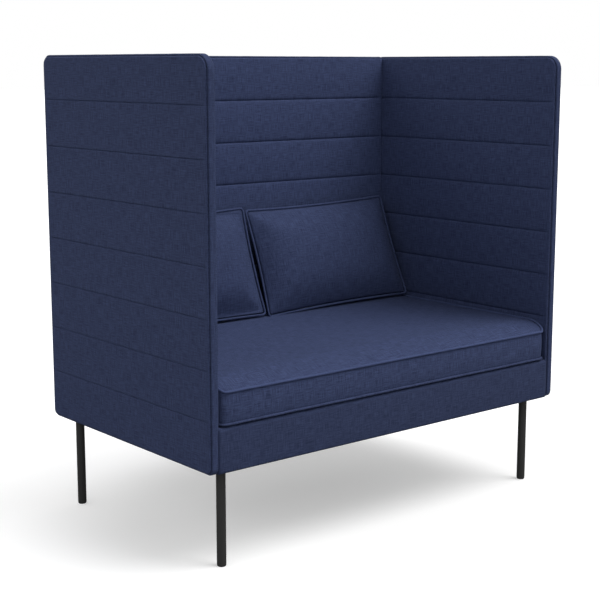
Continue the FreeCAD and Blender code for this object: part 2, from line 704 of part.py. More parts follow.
def apron_block(name, inset, depth, low, high):
    """Bar across the front, its two long front edges rounded."""
    bar = box(f"{name}_bar", ("place.base_width", depth, f"{high} - ({low})"),
              ("0", f"place.apron_y + {inset} + ({depth}) / 2", low))
    doc.recompute()
    front = bar.Shape.BoundBox.YMin
    rounds = doc.addObject("Part::Fillet", name)
    rounds.Base = bar
    radius = value("dims.apron_round") - value(inset)
    rounds.Edges = [(index, radius, radius) for index, edge in enumerate(bar.Shape.Edges, 1)
                    if edge.BoundBox.XLength > TINY and edge.BoundBox.YMax < front + TINY]
    return rounds


CLOTH = "dims.cover_thickness"
TINY = 1e-6
apron_outer = apron_block("apron_outer", "place.no_inset", "dims.apron_tuck", "dims.base_clearance",
                          "dims.deck_top")
apron_inner = apron_block("apron_inner", CLOTH, "dims.apron_tuck", f"dims.base_clearance + {CLOTH}",
                          f"dims.deck_top - {CLOTH}")
hem_end = box("apron_hem_end", ("place.base_width", "dims.apron_tuck", "2 * dims.apron_hem"),
              ("0", "place.apron_y + dims.apron_hem + dims.apron_tuck / 2",
               "dims.base_clearance - dims.apron_hem"))
node(cut("apron_cover", apron_outer, group("apron_hollow", [apron_inner, hem_end])))
apron_foam = apron_block("apron_foam", "place.foam_inset", "dims.apron_foam",
                         "dims.base_clearance + place.foam_inset", "dims.deck_top - place.foam_inset")
node(apron_foam)

# Legs: a tube welded under a screwed plate, with a threaded plug and a levelling glide at the foot.

plates, plugs = [], []
for corner, (leg_x, leg_y, plate_x, plate_y, sign, end) in CORNERS.items():
    plates.append(box(f"{corner}_plate_blank",
                      ("dims.plate_length", "dims.plate_width", "dims.plate_thickness"),
                      (plate_x, plate_y, "place.plate_bottom")))
    foot = (leg_x, leg_y, "place.leg_bottom")
    length = "place.plate_bottom - place.leg_bottom"
    node(cut(f"leg_{corner}", rod(f"{corner}_tube", "dims.leg_diameter", length, foot),
             rod(f"{corner}_bore", "2 * place.leg_bore", length, foot)))
    plugs.append(cut(f"{corner}_plug",
                     rod(f"{corner}_plug_blank", "2 * place.leg_bore - dims.layer_gap",
                         "dims.insert_length", foot),
                     rod(f"{corner}_plug_bore", "dims.glide_stud + 2 * dims.thread_clearance",
                         "dims.insert_length", foot)))
    rim = doc.addObject("Part::Cone", f"{corner}_glide_rim")
    rim.setExpression("Radius1", "dims.glide_diameter / 2 - dims.glide_round")
    rim.setExpression("Radius2", "dims.glide_diameter / 2")
    rim.setExpression("Height", "dims.glide_round")
    put(rim, (leg_x, leg_y, "0"))
    disc = rod(f"{corner}_glide_disc", "dims.glide_diameter", "dims.glide_height - dims.glide_round",
               (leg_x, leg_y, "dims.glide_round"))
    stud = rod(f"{corner}_glide_stud", "dims.glide_stud", "dims.glide_stud_length",
               (leg_x, leg_y, "dims.glide_height"))
    node(fuse(f"glide_{corner}", [rim, disc, stud]))
node(cut("leg_plates", group("leg_plate_blanks", plates),
         group("leg_plate_holes", screw_holes("plate_screw_hole"))))
node(group("leg_plugs", plugs))
heads = on_screws("plate_screw_head", "dims.screw_head_diameter", "-dims.screw_head_height",
                  "dims.screw_head_height")
shanks = on_screws("plate_screw_shank", "dims.screw_diameter", "0", "dims.screw_length")
screws = [fuse(f"plate_screw_{index}", pair) for index, pair in enumerate(zip(heads, shanks))]
node(group("leg_plate_screws", screws))
DUST_FRONT = "(place.apron_y + dims.dust_cover_in)"
dust_sheet = box("dust_sheet",
                 ("place.base_width", f"place.base_rear - {DUST_FRONT}", "dims.dust_cover_thickness"),
                 ("0", f"(place.base_rear + {DUST_FRONT}) / 2",
                  "dims.dust_cover_top - dims.dust_cover_thickness"))
windows = [box(f"{corner}_window",
               ("dims.plate_length + 2 * dims.overrun", "dims.plate_width + 2 * dims.overrun",
                "dims.plate_length"),
               (plate_x, plate_y, "dims.rail_bottom - dims.plate_length / 2"))
           for corner, (leg_x, leg_y, plate_x, plate_y, sign, end) in CORNERS.items()]
node(cut("dust_cover", dust_sheet, group("dust_cover_windows", windows)))

# Seat cushion: foam block with a crowned top, in a boxed cover with piped seams and a zip at the rear.


SHOULDER_STEPS = (0.2, 0.5, 1, 2, 3.5)
SHOULDER_FULLNESS = 2.5


def crowned(span, low, high):
    """Places across a span and how far each has risen from low at the ends to high over the shoulders."""
    width = value("dims.seat_shoulder")
    rises = [(0, low)]
    for step in SHOULDER_STEPS:
        share = 1 - (1 - min(step, 1)) ** SHOULDER_FULLNESS
        rises.append((step * width, low + (high - low) * share))
    return rises + [(span / 2, high)] + [(span - reach, rise) for reach, rise in reversed(rises)]


def seat_form(inset):
    """Boxed cushion, crowned on top and full in front, every face moved inwards by an inset."""
    half = value("place.seat_half") - inset
    front, rear = value("place.seat_front") + inset, value("place.seat_rear") - inset
    low, edge = value("dims.seat_bottom") + inset, value("dims.seat_seam_high") - inset
    bulge = value("dims.seat_bulge")
    sections = []
    for reach, crest in crowned(2 * half, value("dims.seat_end_crown"), value("dims.seat_crown")):
        x = reach - half
        bottom_front, top_front = Vector(x, front, low), Vector(x, front, edge)
        top_rear, bottom_rear = Vector(x, rear, edge), Vector(x, rear, low)
        top = Part.BSplineCurve()
        profile = crowned(rear - front, 0, crest)
        top.interpolate([Vector(x, front + back, edge + rise) for back, rise in profile])
        sections.append(Part.Wire([
            Part.Arc(bottom_front, Vector(x, front - bulge, (low + edge) / 2), top_front).toShape(),
            top.toShape(),
            Part.makeLine(top_rear, bottom_rear),
            Part.makeLine(bottom_rear, bottom_front),
        ]))
    loaf = Part.makeLoft(sections, True)
    return loaf.common(rounded_block(half, front - bulge, rear, value("dims.seat_corner") - inset))


def rounded_block(half, front, rear, corner):
    """Tall block over the seat's plan with rounded upright edges."""
    tall = value("dims.overall_height")
    block = Part.makeBox(2 * half, rear - front, tall, Vector(-half, front, 0))
    return block.makeFillet(corner, [edge for edge in block.Edges if edge.BoundBox.ZLength > tall / 2])


def slab(low, high):
    """Level slice of space, wider than the sofa."""
    wide, deep = value("dims.overall_width"), value("dims.overall_depth")
    return Part.makeBox(wide, deep, high - low, Vector(-wide / 2, -deep / 2, low))


def seat_piping(level):
    """Closed round cord along a seam of the boxed cover."""
    radius = value("dims.piping_diameter") / 2
    inside = value("dims.piping_side_in")
    half, rear = value("place.seat_half") - inside, value("place.seat_rear") - inside
    front = value("place.seat_front") + value("dims.piping_front_in")
    block = rounded_block(half, front, rear, value("dims.seat_corner"))
    seam = block.slice(AXIS_Z, level)[0]
    start = seam.Edges[0]
    ring = Part.makeCircle(radius, start.valueAt(start.FirstParameter), start.tangentAt(start.FirstParameter))
    return seam.makePipeShell([Part.Wire(ring)], True, True)


def trimmed(shape, cords):
    """Main solid that is left of a shape when sewn-in cords have taken their room."""
    for cord in cords:
        shape = shape.cut(cord)
    return max(shape.Solids, key=lambda solid: solid.Volume)


cloth, gap = value("dims.cover_thickness"), value("dims.layer_gap")
seam_low, seam_high = value("dims.seat_seam_low"), value("dims.seat_seam_high")
seat_outer, seat_inner = seat_form(0), seat_form(cloth)
piping = [seat_piping(seam_low), seat_piping(seam_high)]
node(formed("seat_foam", trimmed(seat_form(cloth + 2 * gap), piping)))
for name, low, high in (("seat_bottom_cover", 0, seam_low), ("seat_boxing", seam_low, seam_high),
                        ("seat_top_cover", seam_high, value("dims.overall_height"))):
    node(formed(name, trimmed(seat_outer.common(slab(low, high)).cut(seat_inner), piping)))
node(formed("seat_piping", Part.makeCompound(piping)))
ZIP_Y = "(place.seat_rear + dims.thread_clearance)"
ZIP_Z = "(dims.seat_seam_low + dims.seat_seam_high) / 2"
SLIDER_X = "(dims.seat_zip_length / 2 - dims.slider_length)"
node(box("seat_zip", ("dims.seat_zip_length", "dims.zip_thickness", "dims.zip_width"),
         ("0", f"{ZIP_Y} + dims.zip_thickness / 2", f"{ZIP_Z} - dims.zip_width / 2")))


def zip_slider(name, x, rail_y, rail_z):
    """Channel-shaped slider over a zip that faces the rear, with a flat pull behind it."""
    block = box(f"{name}_block", ("dims.slider_length", "dims.slider_height", "dims.slider_width"),
                (x, f"{rail_y} + dims.slider_clearance + dims.slider_height / 2",
                 f"{rail_z} - dims.slider_width / 2"))
    tunnel = box(f"{name}_tunnel",
                 ("2 * dims.slider_length", "2 * dims.zip_thickness + 2 * dims.slider_clearance",
                  "dims.zip_width + 2 * dims.slider_clearance"),
                 (x, rail_y, f"{rail_z} - dims.zip_width / 2 - dims.slider_clearance"))
    pull = box(f"{name}_pull", ("dims.pull_length", "dims.pull_thickness", "dims.pull_width"),
               (f"{x} - dims.pull_length / 2",
                f"{rail_y} + dims.slider_clearance + dims.slider_height + dims.pull_thickness / 2",
                f"{rail_z} - dims.pull_width / 2"))
    return fuse(name, [cut(f"{name}_shell", block, tunnel), pull])


node(zip_slider("seat_zip_slider", SLIDER_X, ZIP_Y, ZIP_Z))

# Back cushions: knife-edged pads that lean on the back panel, each in a two-piece piped cover with a zip
# along the bottom seam. Drawn upright round their middle, front at -Y, then tilted and set in place.


def pinched_outline(half_width, half_height, pinch, corner):
    """Closed outline whose four sides draw in between rounded corners."""
    top_radius = (half_width ** 2 + pinch ** 2) / (2 * pinch)
    side_radius = (half_height ** 2 + pinch ** 2) / (2 * pinch)
    above = Vector(0, 0, half_height - pinch + top_radius)
    beside = Vector(half_width - pinch + side_radius, 0, 0)
    span = beside - above
    reach, other = top_radius + corner, side_radius + corner
    along = (reach ** 2 - other ** 2 + span.Length ** 2) / (2 * span.Length)
    across = math.sqrt(reach ** 2 - along ** 2)
    way = span.normalize()
    centre = above + way * along + Vector(way.z, 0, -way.x) * across
    on_top = above + (centre - above) * (top_radius / reach)
    on_side = beside + (centre - beside) * (side_radius / other)
    bend = centre + ((on_top - centre) + (on_side - centre)).normalize() * corner

    def quarter(point, x, z):
        return Vector(point.x * x, 0, point.z * z)

    edges = []
    for x, z in ((1, 1), (-1, 1), (-1, -1), (1, -1)):
        turned = x * z > 0
        first, last = (on_side, on_top) if turned else (on_top, on_side)
        edges.append(Part.Arc(quarter(first, x, z), quarter(bend, x, z), quarter(last, x, z)).toShape())
        if turned:
            middle = Vector(0, 0, z * (half_height - pinch))
            edges.append(Part.Arc(quarter(on_top, x, z), middle, quarter(on_top, -x, z)).toShape())
        else:
            middle = Vector(x * (half_width - pinch), 0, 0)
            edges.append(Part.Arc(quarter(on_side, x, z), middle, quarter(on_side, x, -z)).toShape())
    return Part.Wire(edges)


PAD_STATIONS = (-1, -0.92, -0.72, 0, 0.72, 0.92, 1)
PAD_SQUARENESS = 3
PAD_FULLNESS = 0.75
PAD_END_SWELL = 0.03


def pad_form(inset):
    """Pad with a crown on both faces that runs out to thin edges, moved inwards by an inset."""
    half_width, half_height = value("place.pad_half_width") - inset, value("place.pad_half_height") - inset
    edge = value("dims.pad_edge") / 2 - inset
    swell = (value("dims.pad_thickness") - value("dims.pad_edge")) / 2
    sections = []
    for part in PAD_STATIONS:
        x = part * half_width
        crest = edge + swell * max(PAD_END_SWELL, (1 - abs(part) ** PAD_SQUARENESS) ** PAD_FULLNESS)
        corners = [Vector(x, y, z) for y, z in ((-edge, -half_height), (-edge, half_height),
                                                (edge, half_height), (edge, -half_height))]
        sections.append(Part.Wire([
            Part.Arc(corners[0], Vector(x, -crest, 0), corners[1]).toShape(),
            Part.makeLine(corners[1], corners[2]),
            Part.Arc(corners[2], Vector(x, crest, 0), corners[3]).toShape(),
            Part.makeLine(corners[3], corners[0]),
        ]))
    corner = value("dims.pad_corner") - value("place.pad_seam_in") - inset
    outline = pinched_outline(half_width, half_height, value("dims.pad_pinch"), corner)
    deep = value("dims.pad_thickness")
    prism = Part.Face(outline).extrude(Vector(0, 2 * deep, 0)).translated(Vector(0, -deep, 0))
    return Part.makeLoft(sections, True).common(prism)


def pad_piping():
    """Cord round the rim of a pad, a little in front of its middle."""
    radius = value("dims.piping_diameter") / 2
    seam = pinched_outline(value("dims.pad_width") / 2 - radius, value("dims.pad_height") / 2 - radius,
                           value("dims.pad_pinch"), value("dims.pad_corner") - radius)
    seam.translate(Vector(0, -value("dims.pad_cord_forward"), 0))
    start = seam.Edges[0]
    ring = Part.makeCircle(radius, start.valueAt(start.FirstParameter), start.tangentAt(start.FirstParameter))
    return seam.makePipeShell([Part.Wire(ring)], True, True)


def half_space(sign):
    """Everything in front of or behind the middle plane of a pad."""
    wide = value("dims.overall_width")
    return Part.makeBox(wide, wide, wide, Vector(-wide / 2, 0 if sign > 0 else -wide, -wide / 2))


pad_cord = pad_piping()
pad_outer, pad_inner = pad_form(0), pad_form(cloth)
pad_cover = Part.makeCompound([trimmed(pad_outer.common(half_space(sign)).cut(pad_inner), [])
                               for sign in (-1, 1)])
pad_filling = pad_form(cloth + gap)
PAD_TURN = Rotation(AXIS_X, -value("dims.pad_tilt"))
pad_zip_z = value("dims.pad_pinch") - value("place.pad_half_height") - value("dims.pad_zip_drop")


def zip_parts():
    """Zip strip along the bottom seam and its slider, upright round the pad's middle."""
    length, width, thick = value("dims.pad_zip_length"), value("dims.zip_width"), value("dims.zip_thickness")
    clear = value("dims.slider_clearance")
    strip_y = value("dims.pad_zip_behind")
    strip = Part.makeBox(length, width, thick, Vector(-length / 2, strip_y, pad_zip_z - thick))
    long, wide, high = (value(f"dims.slider_{edge}") for edge in ("length", "width", "height"))
    x = length / 2 - value("dims.pad_slider_in")
    middle_y = strip_y + width / 2
    top = pad_zip_z - clear
    block = Part.makeBox(long, wide, high, Vector(x, middle_y - wide / 2, top - high))
    tunnel = Part.makeBox(3 * long, width + 2 * clear, thick + clear,
                          Vector(x - long, strip_y - clear, top - thick))
    pull = Part.makeBox(value("dims.pull_length"), value("dims.pull_width"), value("dims.pull_thickness"),
                        Vector(x - value("dims.pull_length") / 2, middle_y - value("dims.pull_width") / 2,
                               top - high - value("dims.pull_thickness")))
    return strip, block.cut(tunnel).fuse(pull)


pad_zip, pad_slider = zip_parts()
for side, sign in SIDES:
    for name, shape in (("filling", pad_filling), ("cover", pad_cover), ("piping", pad_cord),
                        ("zip", pad_zip), ("zip_slider", pad_slider)):
        piece = node(formed(f"{side}_pad_{name}", shape))
        middle_x = f"dims.pad_shift + {sign} * dims.pad_centre_x"
        put(piece, (middle_x, "dims.pad_centre_y", "dims.pad_centre_z"), PAD_TURN)

# Checks on every piece, then one file each.

doc.recompute()
for item in doc.Objects:
    if any(word in ("Invalid", "Error") for word in item.State):
        raise RuntimeError(f"{item.Label} did not build: {item.State}")
os.makedirs("parts", exist_ok=True)
for piece in nodes:
    if piece.Shape.isNull() or not piece.Shape.isValid() or not piece.Shape.Solids:
        raise RuntimeError(f"{piece.Label} has no valid solid")
    piece.Shape.exportStep(f"parts/{piece.Label}.step")
    print(piece.Label, len(piece.Shape.Solids), round(piece.Shape.Volume))
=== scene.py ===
import math

import bmesh
import bpy
from mathutils import Matrix, Vector, noise


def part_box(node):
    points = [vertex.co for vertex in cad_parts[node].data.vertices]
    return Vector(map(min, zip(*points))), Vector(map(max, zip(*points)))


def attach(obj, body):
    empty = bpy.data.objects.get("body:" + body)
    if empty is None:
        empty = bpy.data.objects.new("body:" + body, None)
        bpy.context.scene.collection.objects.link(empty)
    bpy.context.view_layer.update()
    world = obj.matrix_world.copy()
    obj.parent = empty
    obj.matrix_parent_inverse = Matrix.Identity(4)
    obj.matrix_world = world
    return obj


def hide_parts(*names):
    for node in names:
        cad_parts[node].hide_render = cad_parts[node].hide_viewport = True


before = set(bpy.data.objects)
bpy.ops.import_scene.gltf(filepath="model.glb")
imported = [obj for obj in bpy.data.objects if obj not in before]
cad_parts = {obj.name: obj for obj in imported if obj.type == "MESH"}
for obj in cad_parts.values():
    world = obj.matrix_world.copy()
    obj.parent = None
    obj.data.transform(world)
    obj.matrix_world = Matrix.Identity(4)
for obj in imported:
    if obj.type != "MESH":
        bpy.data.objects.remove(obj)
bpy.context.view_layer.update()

# Timber inside the sofa: the back panel's core of birch plywood, and softwood rails with glued corner
# blocks under the seat. Sawn, unlacquered, with the grain along each piece.


def start_finish(name, **sockets):
    """A new finish with its plain sockets set, its node tree and its shader."""
    finish = bpy.data.materials.new(name)
    finish.use_nodes = True
    shader = finish.node_tree.nodes["Principled BSDF"]
    for socket, setting in sockets.items():
        shader.inputs[socket.replace("_", " ")].default_value = setting
    return finish, finish.node_tree, shader


def add(tree, kind, **settings):
    """A node of that kind; capitalised settings are its sockets, the rest its options."""
    made = tree.nodes.new(kind)
    for key, setting in settings.items():
        if key[0].isupper():
            made.inputs[key].default_value = setting
        else:
            setattr(made, key, setting)
    return made


def stretched(tree, output, scale):
    """Pattern space drawn out by a scale for each direction, from Object or UV coordinates."""
    source = add(tree, "ShaderNodeTexCoord")
    mapping = add(tree, "ShaderNodeMapping", Scale=scale)
    tree.links.new(source.outputs[output], mapping.inputs["Vector"])
    return mapping.outputs["Vector"]


def speckle(tree, space, **settings):
    """Noise in a pattern space, as a value from 0 to 1."""
    made = add(tree, "ShaderNodeTexNoise", Scale=1.0, **settings)
    tree.links.new(space, made.inputs["Vector"])
    return made.outputs["Fac"]


def tinted(tree, shader, value, dark, light, spread=(0.3, 0.7)):
    """Base colour that runs from dark to light as a value goes over a spread."""
    ramp = add(tree, "ShaderNodeValToRGB")
    for stop, place, colour in zip(ramp.color_ramp.elements, spread, (dark, light)):
        stop.position = place
        stop.color = (*colour, 1.0)
    tree.links.new(value, ramp.inputs["Fac"])
    tree.links.new(ramp.outputs["Color"], shader.inputs["Base Color"])


def relief(tree, shader, value, depth, strength=0.6):
    """Bump of a real depth in metres."""
    bump = add(tree, "ShaderNodeBump", Distance=depth, Strength=strength)
    tree.links.new(value, bump.inputs["Height"])
    tree.links.new(bump.outputs["Normal"], shader.inputs["Normal"])


def wood_finish(name, dark, light, grain):
    """Sawn wood with its grain drawn out along the direction of the smallest scale."""
    finish, tree, shader = start_finish(name, Roughness=0.72)
    value = speckle(tree, stretched(tree, "Object", grain), Detail=6.0, Distortion=0.8)
    tinted(tree, shader, value, dark, light)
    relief(tree, shader, value, depth=0.0004)
    return finish


def dress(finish, *names):
    """Gives a finish to CAD pieces that keep their own shape."""
    for name in names:
        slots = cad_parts[name].material_slots
        for slot in slots:
            slot.material = finish


birch = wood_finish("birch_plywood", (0.42, 0.29, 0.16), (0.62, 0.46, 0.28), grain=(60.0, 60.0, 6.0))
pine = wood_finish("sawn_pine", (0.46, 0.30, 0.14), (0.68, 0.50, 0.27), grain=(5.0, 70.0, 70.0))
dress(birch, "back_panel_core")
dress(pine, "front_rail", "rear_rail", "side_rails", "centre_rail", "corner_blocks")

# Ironmongery inside the sofa: bolts with sleeves and spacers, hooks in keyhole plates, spring clips, and
# leg plates with screws. Bright zinc, oiled spring steel and black lacquered steel.


def metal_finish(name, dark, light, metallic, roughness, fleck):
    """Metal, lacquer or moulded plastic with a fine fleck."""
    finish, tree, shader = start_finish(name, Metallic=metallic, Roughness=roughness)
    value = speckle(tree, stretched(tree, "Object", (fleck, fleck, fleck)), Detail=4.0)
    tinted(tree, shader, value, dark, light)
    relief(tree, shader, value, depth=0.00006)
    return finish


zinc = metal_finish("bright_zinc", (0.50, 0.51, 0.52), (0.66, 0.67, 0.68),
                    metallic=1.0, roughness=0.34, fleck=900.0)
spring_wire = metal_finish("oiled_spring_wire", (0.16, 0.15, 0.14), (0.26, 0.25, 0.23),
                           metallic=1.0, roughness=0.38, fleck=700.0)
black_lacquer = metal_finish("black_satin_lacquer", (0.018, 0.018, 0.018), (0.032, 0.032, 0.031),
                             metallic=0.0, roughness=0.42, fleck=1400.0)
black_plastic = metal_finish("black_moulded_plastic", (0.014, 0.014, 0.015), (0.026, 0.026, 0.027),
                             metallic=0.0, roughness=0.58, fleck=1100.0)
dress(zinc, "panel_bolts", "panel_threaded_sleeves", "panel_spacers", "panel_hooks", "panel_keyhole_plates",
      "leg_plate_screws")
dress(spring_wire, "spring_clips")
dress(black_lacquer, "leg_plates", "leg_plugs")

# Panel covers: navy wool blend over foam on both sides of each core, sewn into eight level channels. The
# inner side is padded deeper than the outer one, and its seams tuck in further.

NAVY_DARK = (0.0222, 0.0316, 0.0760)
NAVY_LIGHT = (0.0580, 0.0775, 0.1700)
YARN = 0.0014
UPRIGHT_SLUBS, LEVEL_SLUBS, MOTTLING = (540.0, 32.0, 1.0), (29.0, 580.0, 1.0), (16.0, 16.0, 1.0)
MOTTLING_SHARE, YARN_SHARE = 0.14, 0.28
TONE_MIDDLE, TONE_SPREAD = 1.22, 0.28


def weave_finish(name, yarn, painted_light_factor=1.0, contrast=1.0):
    """Plain weave on the cloth's own UV, in metres: crossing yarns, slubs both ways and soft mottling. The
    shade factor scales the colour: above 1 it paints light into the cloth, below 1 it paints shade.
    """
    finish, tree, shader = start_finish(name, Roughness=0.88, Sheen_Weight=0.03, Sheen_Roughness=0.45)
    shader.inputs["Sheen Tint"].default_value = (0.55, 0.66, 1.0, 1.0)
    shader.inputs["Specular IOR Level"].default_value = 0.15
    cloth = stretched(tree, "UV", (1.0, 1.0, 1.0))
    turns = math.pi / (10.0 * yarn)
    warp = add(tree, "ShaderNodeTexWave", bands_direction="X", Scale=turns / 2.0)
    weft = add(tree, "ShaderNodeTexWave", bands_direction="Y", Scale=turns / 2.0)
    over = add(tree, "ShaderNodeTexChecker", Scale=1.0 / yarn)
    for pattern in (warp, weft, over):
        tree.links.new(cloth, pattern.inputs["Vector"])
    crossing = add(tree, "ShaderNodeMix")
    tree.links.new(over.outputs["Fac"], crossing.inputs["Factor"])
    tree.links.new(warp.outputs["Fac"], crossing.inputs["A"])
    tree.links.new(weft.outputs["Fac"], crossing.inputs["B"])
    upright = speckle(tree, stretched(tree, "UV", UPRIGHT_SLUBS), Detail=3.0)
    level = speckle(tree, stretched(tree, "UV", LEVEL_SLUBS), Detail=3.0)
    mottle = speckle(tree, stretched(tree, "UV", MOTTLING), Detail=5.0)
    slubs = add(tree, "ShaderNodeMath", operation="ADD")
    tree.links.new(upright, slubs.inputs[0])
    tree.links.new(level, slubs.inputs[1])
    shades = add(tree, "ShaderNodeMath", operation="MULTIPLY_ADD")
    shades.inputs[1].default_value = MOTTLING_SHARE
    tree.links.new(mottle, shades.inputs[0])
    tree.links.new(slubs.outputs["Value"], shades.inputs[2])
    yarns = add(tree, "ShaderNodeMath", operation="MULTIPLY_ADD")
    yarns.inputs[1].default_value = YARN_SHARE
    tree.links.new(crossing.outputs["Result"], yarns.inputs[0])
    tree.links.new(shades.outputs["Value"], yarns.inputs[2])
    tone = add(tree, "ShaderNodeMapRange")
    tone.inputs["From Min"].default_value = TONE_MIDDLE - TONE_SPREAD / contrast
    tone.inputs["From Max"].default_value = TONE_MIDDLE + TONE_SPREAD / contrast
    tree.links.new(yarns.outputs["Value"], tone.inputs["Value"])
    dark = tuple(painted_light_factor * channel for channel in NAVY_DARK)
    light = tuple(painted_light_factor * channel for channel in NAVY_LIGHT)
    tinted(tree, shader, tone.outputs["Result"], dark, light, spread=(0.0, 1.0))
    relief(tree, shader, crossing.outputs["Result"], depth=0.0003, strength=0.5)
    return finish


navy = weave_finish("navy_weave", YARN)
# The back panel's inner cover takes a lighter copy of the cloth: painted light, for the light that falls on
# it.
navy_back_painted_light = weave_finish("navy_back_painted_light_weave", YARN, painted_light_factor=1.12)


def shaped_grid(columns, rows, place):
    """Flat grid of cloth, each point of it taken to place(u, v) with u and v from 0 to 1."""
    mesh = bmesh.new()
    bmesh.ops.create_grid(mesh, x_segments=columns, y_segments=rows, size=0.5)
    for vert in mesh.verts:
        vert.co = place(vert.co.x + 0.5, vert.co.y + 0.5)
    return mesh


def lay_weave(mesh):
    """UV in metres from the side that each face looks to, so the yarns run straight over every panel."""
    flat = mesh.loops.layers.uv.verify()
    for face in mesh.faces:
        normal = face.normal
        away = max(range(3), key=lambda axis: abs(normal[axis]))
        across, up = ((1, 2), (0, 2), (0, 1))[away]
        for loop in face.loops:
            loop[flat].uv = (loop.vert.co[across], loop.vert.co[up])


def outline_depth(x, y, half_width, low, high, low_radius, high_radius):
    """How far a point lies inside a rounded rectangle."""
    middle = (low + high) / 2.0
    radius = high_radius if y > middle else low_radius
    over_x = abs(x) - half_width + radius
    over_y = abs(y - middle) - (high - low) / 2.0 + radius
    outside = math.hypot(max(over_x, 0.0), max(over_y, 0.0))
    return radius - outside - min(max(over_x, over_y), 0.0)


def round_corner(x, y, half_width, low, high, low_radius, high_radius):
    """Draws the corner square of a grid in to a quarter disc."""
    middle = (low + high) / 2.0
    radius = high_radius if y > middle else low_radius
    across = (abs(x) - half_width + radius) / radius
    up = (abs(y - middle) - (high - low) / 2.0 + radius) / radius
    if across <= 0.0 or up <= 0.0:
        return x, y
    x -= math.copysign(radius * across * (1.0 - math.sqrt(1.0 - up * up / 2.0)), x)
    y -= math.copysign(radius * up * (1.0 - math.sqrt(1.0 - across * across / 2.0)), y - middle)
    return x, y


def roll(share):
    """Height of a quarter round from its edge, both from 0 to 1."""
    share = min(max(share, 0.0), 1.0)
    return math.sqrt(1.0 - (1.0 - share) ** 2)


def close_back(mesh, to_back):
    """Takes the open edge of a face back to its bed and closes it there."""
    rim = [edge for edge in mesh.edges if edge.is_boundary]
    made = bmesh.ops.extrude_edge_only(mesh, edges=rim)["geom"]
    for vert in made:
        if isinstance(vert, bmesh.types.BMVert):
            vert.co = to_back(vert.co)
    bmesh.ops.holes_fill(mesh, edges=[edge for edge in mesh.edges if edge.is_boundary], sides=0)
    bmesh.ops.recalc_face_normals(mesh, faces=mesh.faces)


def make_piece(mesh, name, finish, body, slot, *nodes):
    """A finished piece that rides on a body and stands for CAD nodes."""
    for face in mesh.faces:
        face.smooth = True
    data = bpy.data.meshes.new(name)
    mesh.to_mesh(data)
    mesh.free()
    data.materials.append(finish)
    piece = bpy.data.objects.new(name, data)
    bpy.context.scene.collection.objects.link(piece)
    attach(piece, body)
    if nodes:
        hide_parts(*nodes)
    return piece


PANEL_LOW, PANEL_HIGH = 0.264, 1.304
CHANNELS = 8
COVER_INSET, COVER_ROLL = 0.0060, 0.003
COVER_BED, COVER_RIM, INNER_TOP, OUTER_TOP = 0.0063, 0.0118, 0.0148, 0.0140
CORNER_LOW, CORNER_HIGH, CORNER_BACK = 0.020, 0.028, 0.013
FACES = {
    "inner": {"tuck": 0.0034, "tuck_width": 0.011, "crest": 0.0028, "stitch": 0.0014, "seam_shift": -0.007,
              "top": INNER_TOP},
    "outer": {"tuck": 0.0014, "tuck_width": 0.005, "crest": 0.0003, "stitch": 0.0022, "seam_shift": 0.007,
              "top": OUTER_TOP},
}
RIM_FADE, STITCH_WIDTH = 0.03, 0.0012
GATHER, GATHERS_PER_METRE, GATHER_REACH, SEAM_STEP = 0.00045, 58.0, 0.012, 7.3
UNEVEN, UNEVEN_ALONG, UNEVEN_UP = 0.0005, 7.0, 9.0
FLAT_SHARE, ROW_CROWDING = 0.92, 0.12
COVER_COLUMNS, CHANNEL_ROWS = 232, 20
SIDE_MIDDLE, SIDE_REACH = 0.6358, 0.395
BACK_MIDDLE, BACK_REACH = 0.3708, 0.6252
LEFT, FRONT, UP = Vector((-1, 0, 0)), Vector((0, -1, 0)), Vector((0, 0, 1))


def standing(middle, facing):
    """Frame of an upright panel side: along it, up it and out of it."""
    along = UP.cross(facing)
    turn = Matrix((along, UP, facing)).transposed().to_4x4()
    return Matrix.Translation(middle) @ turn


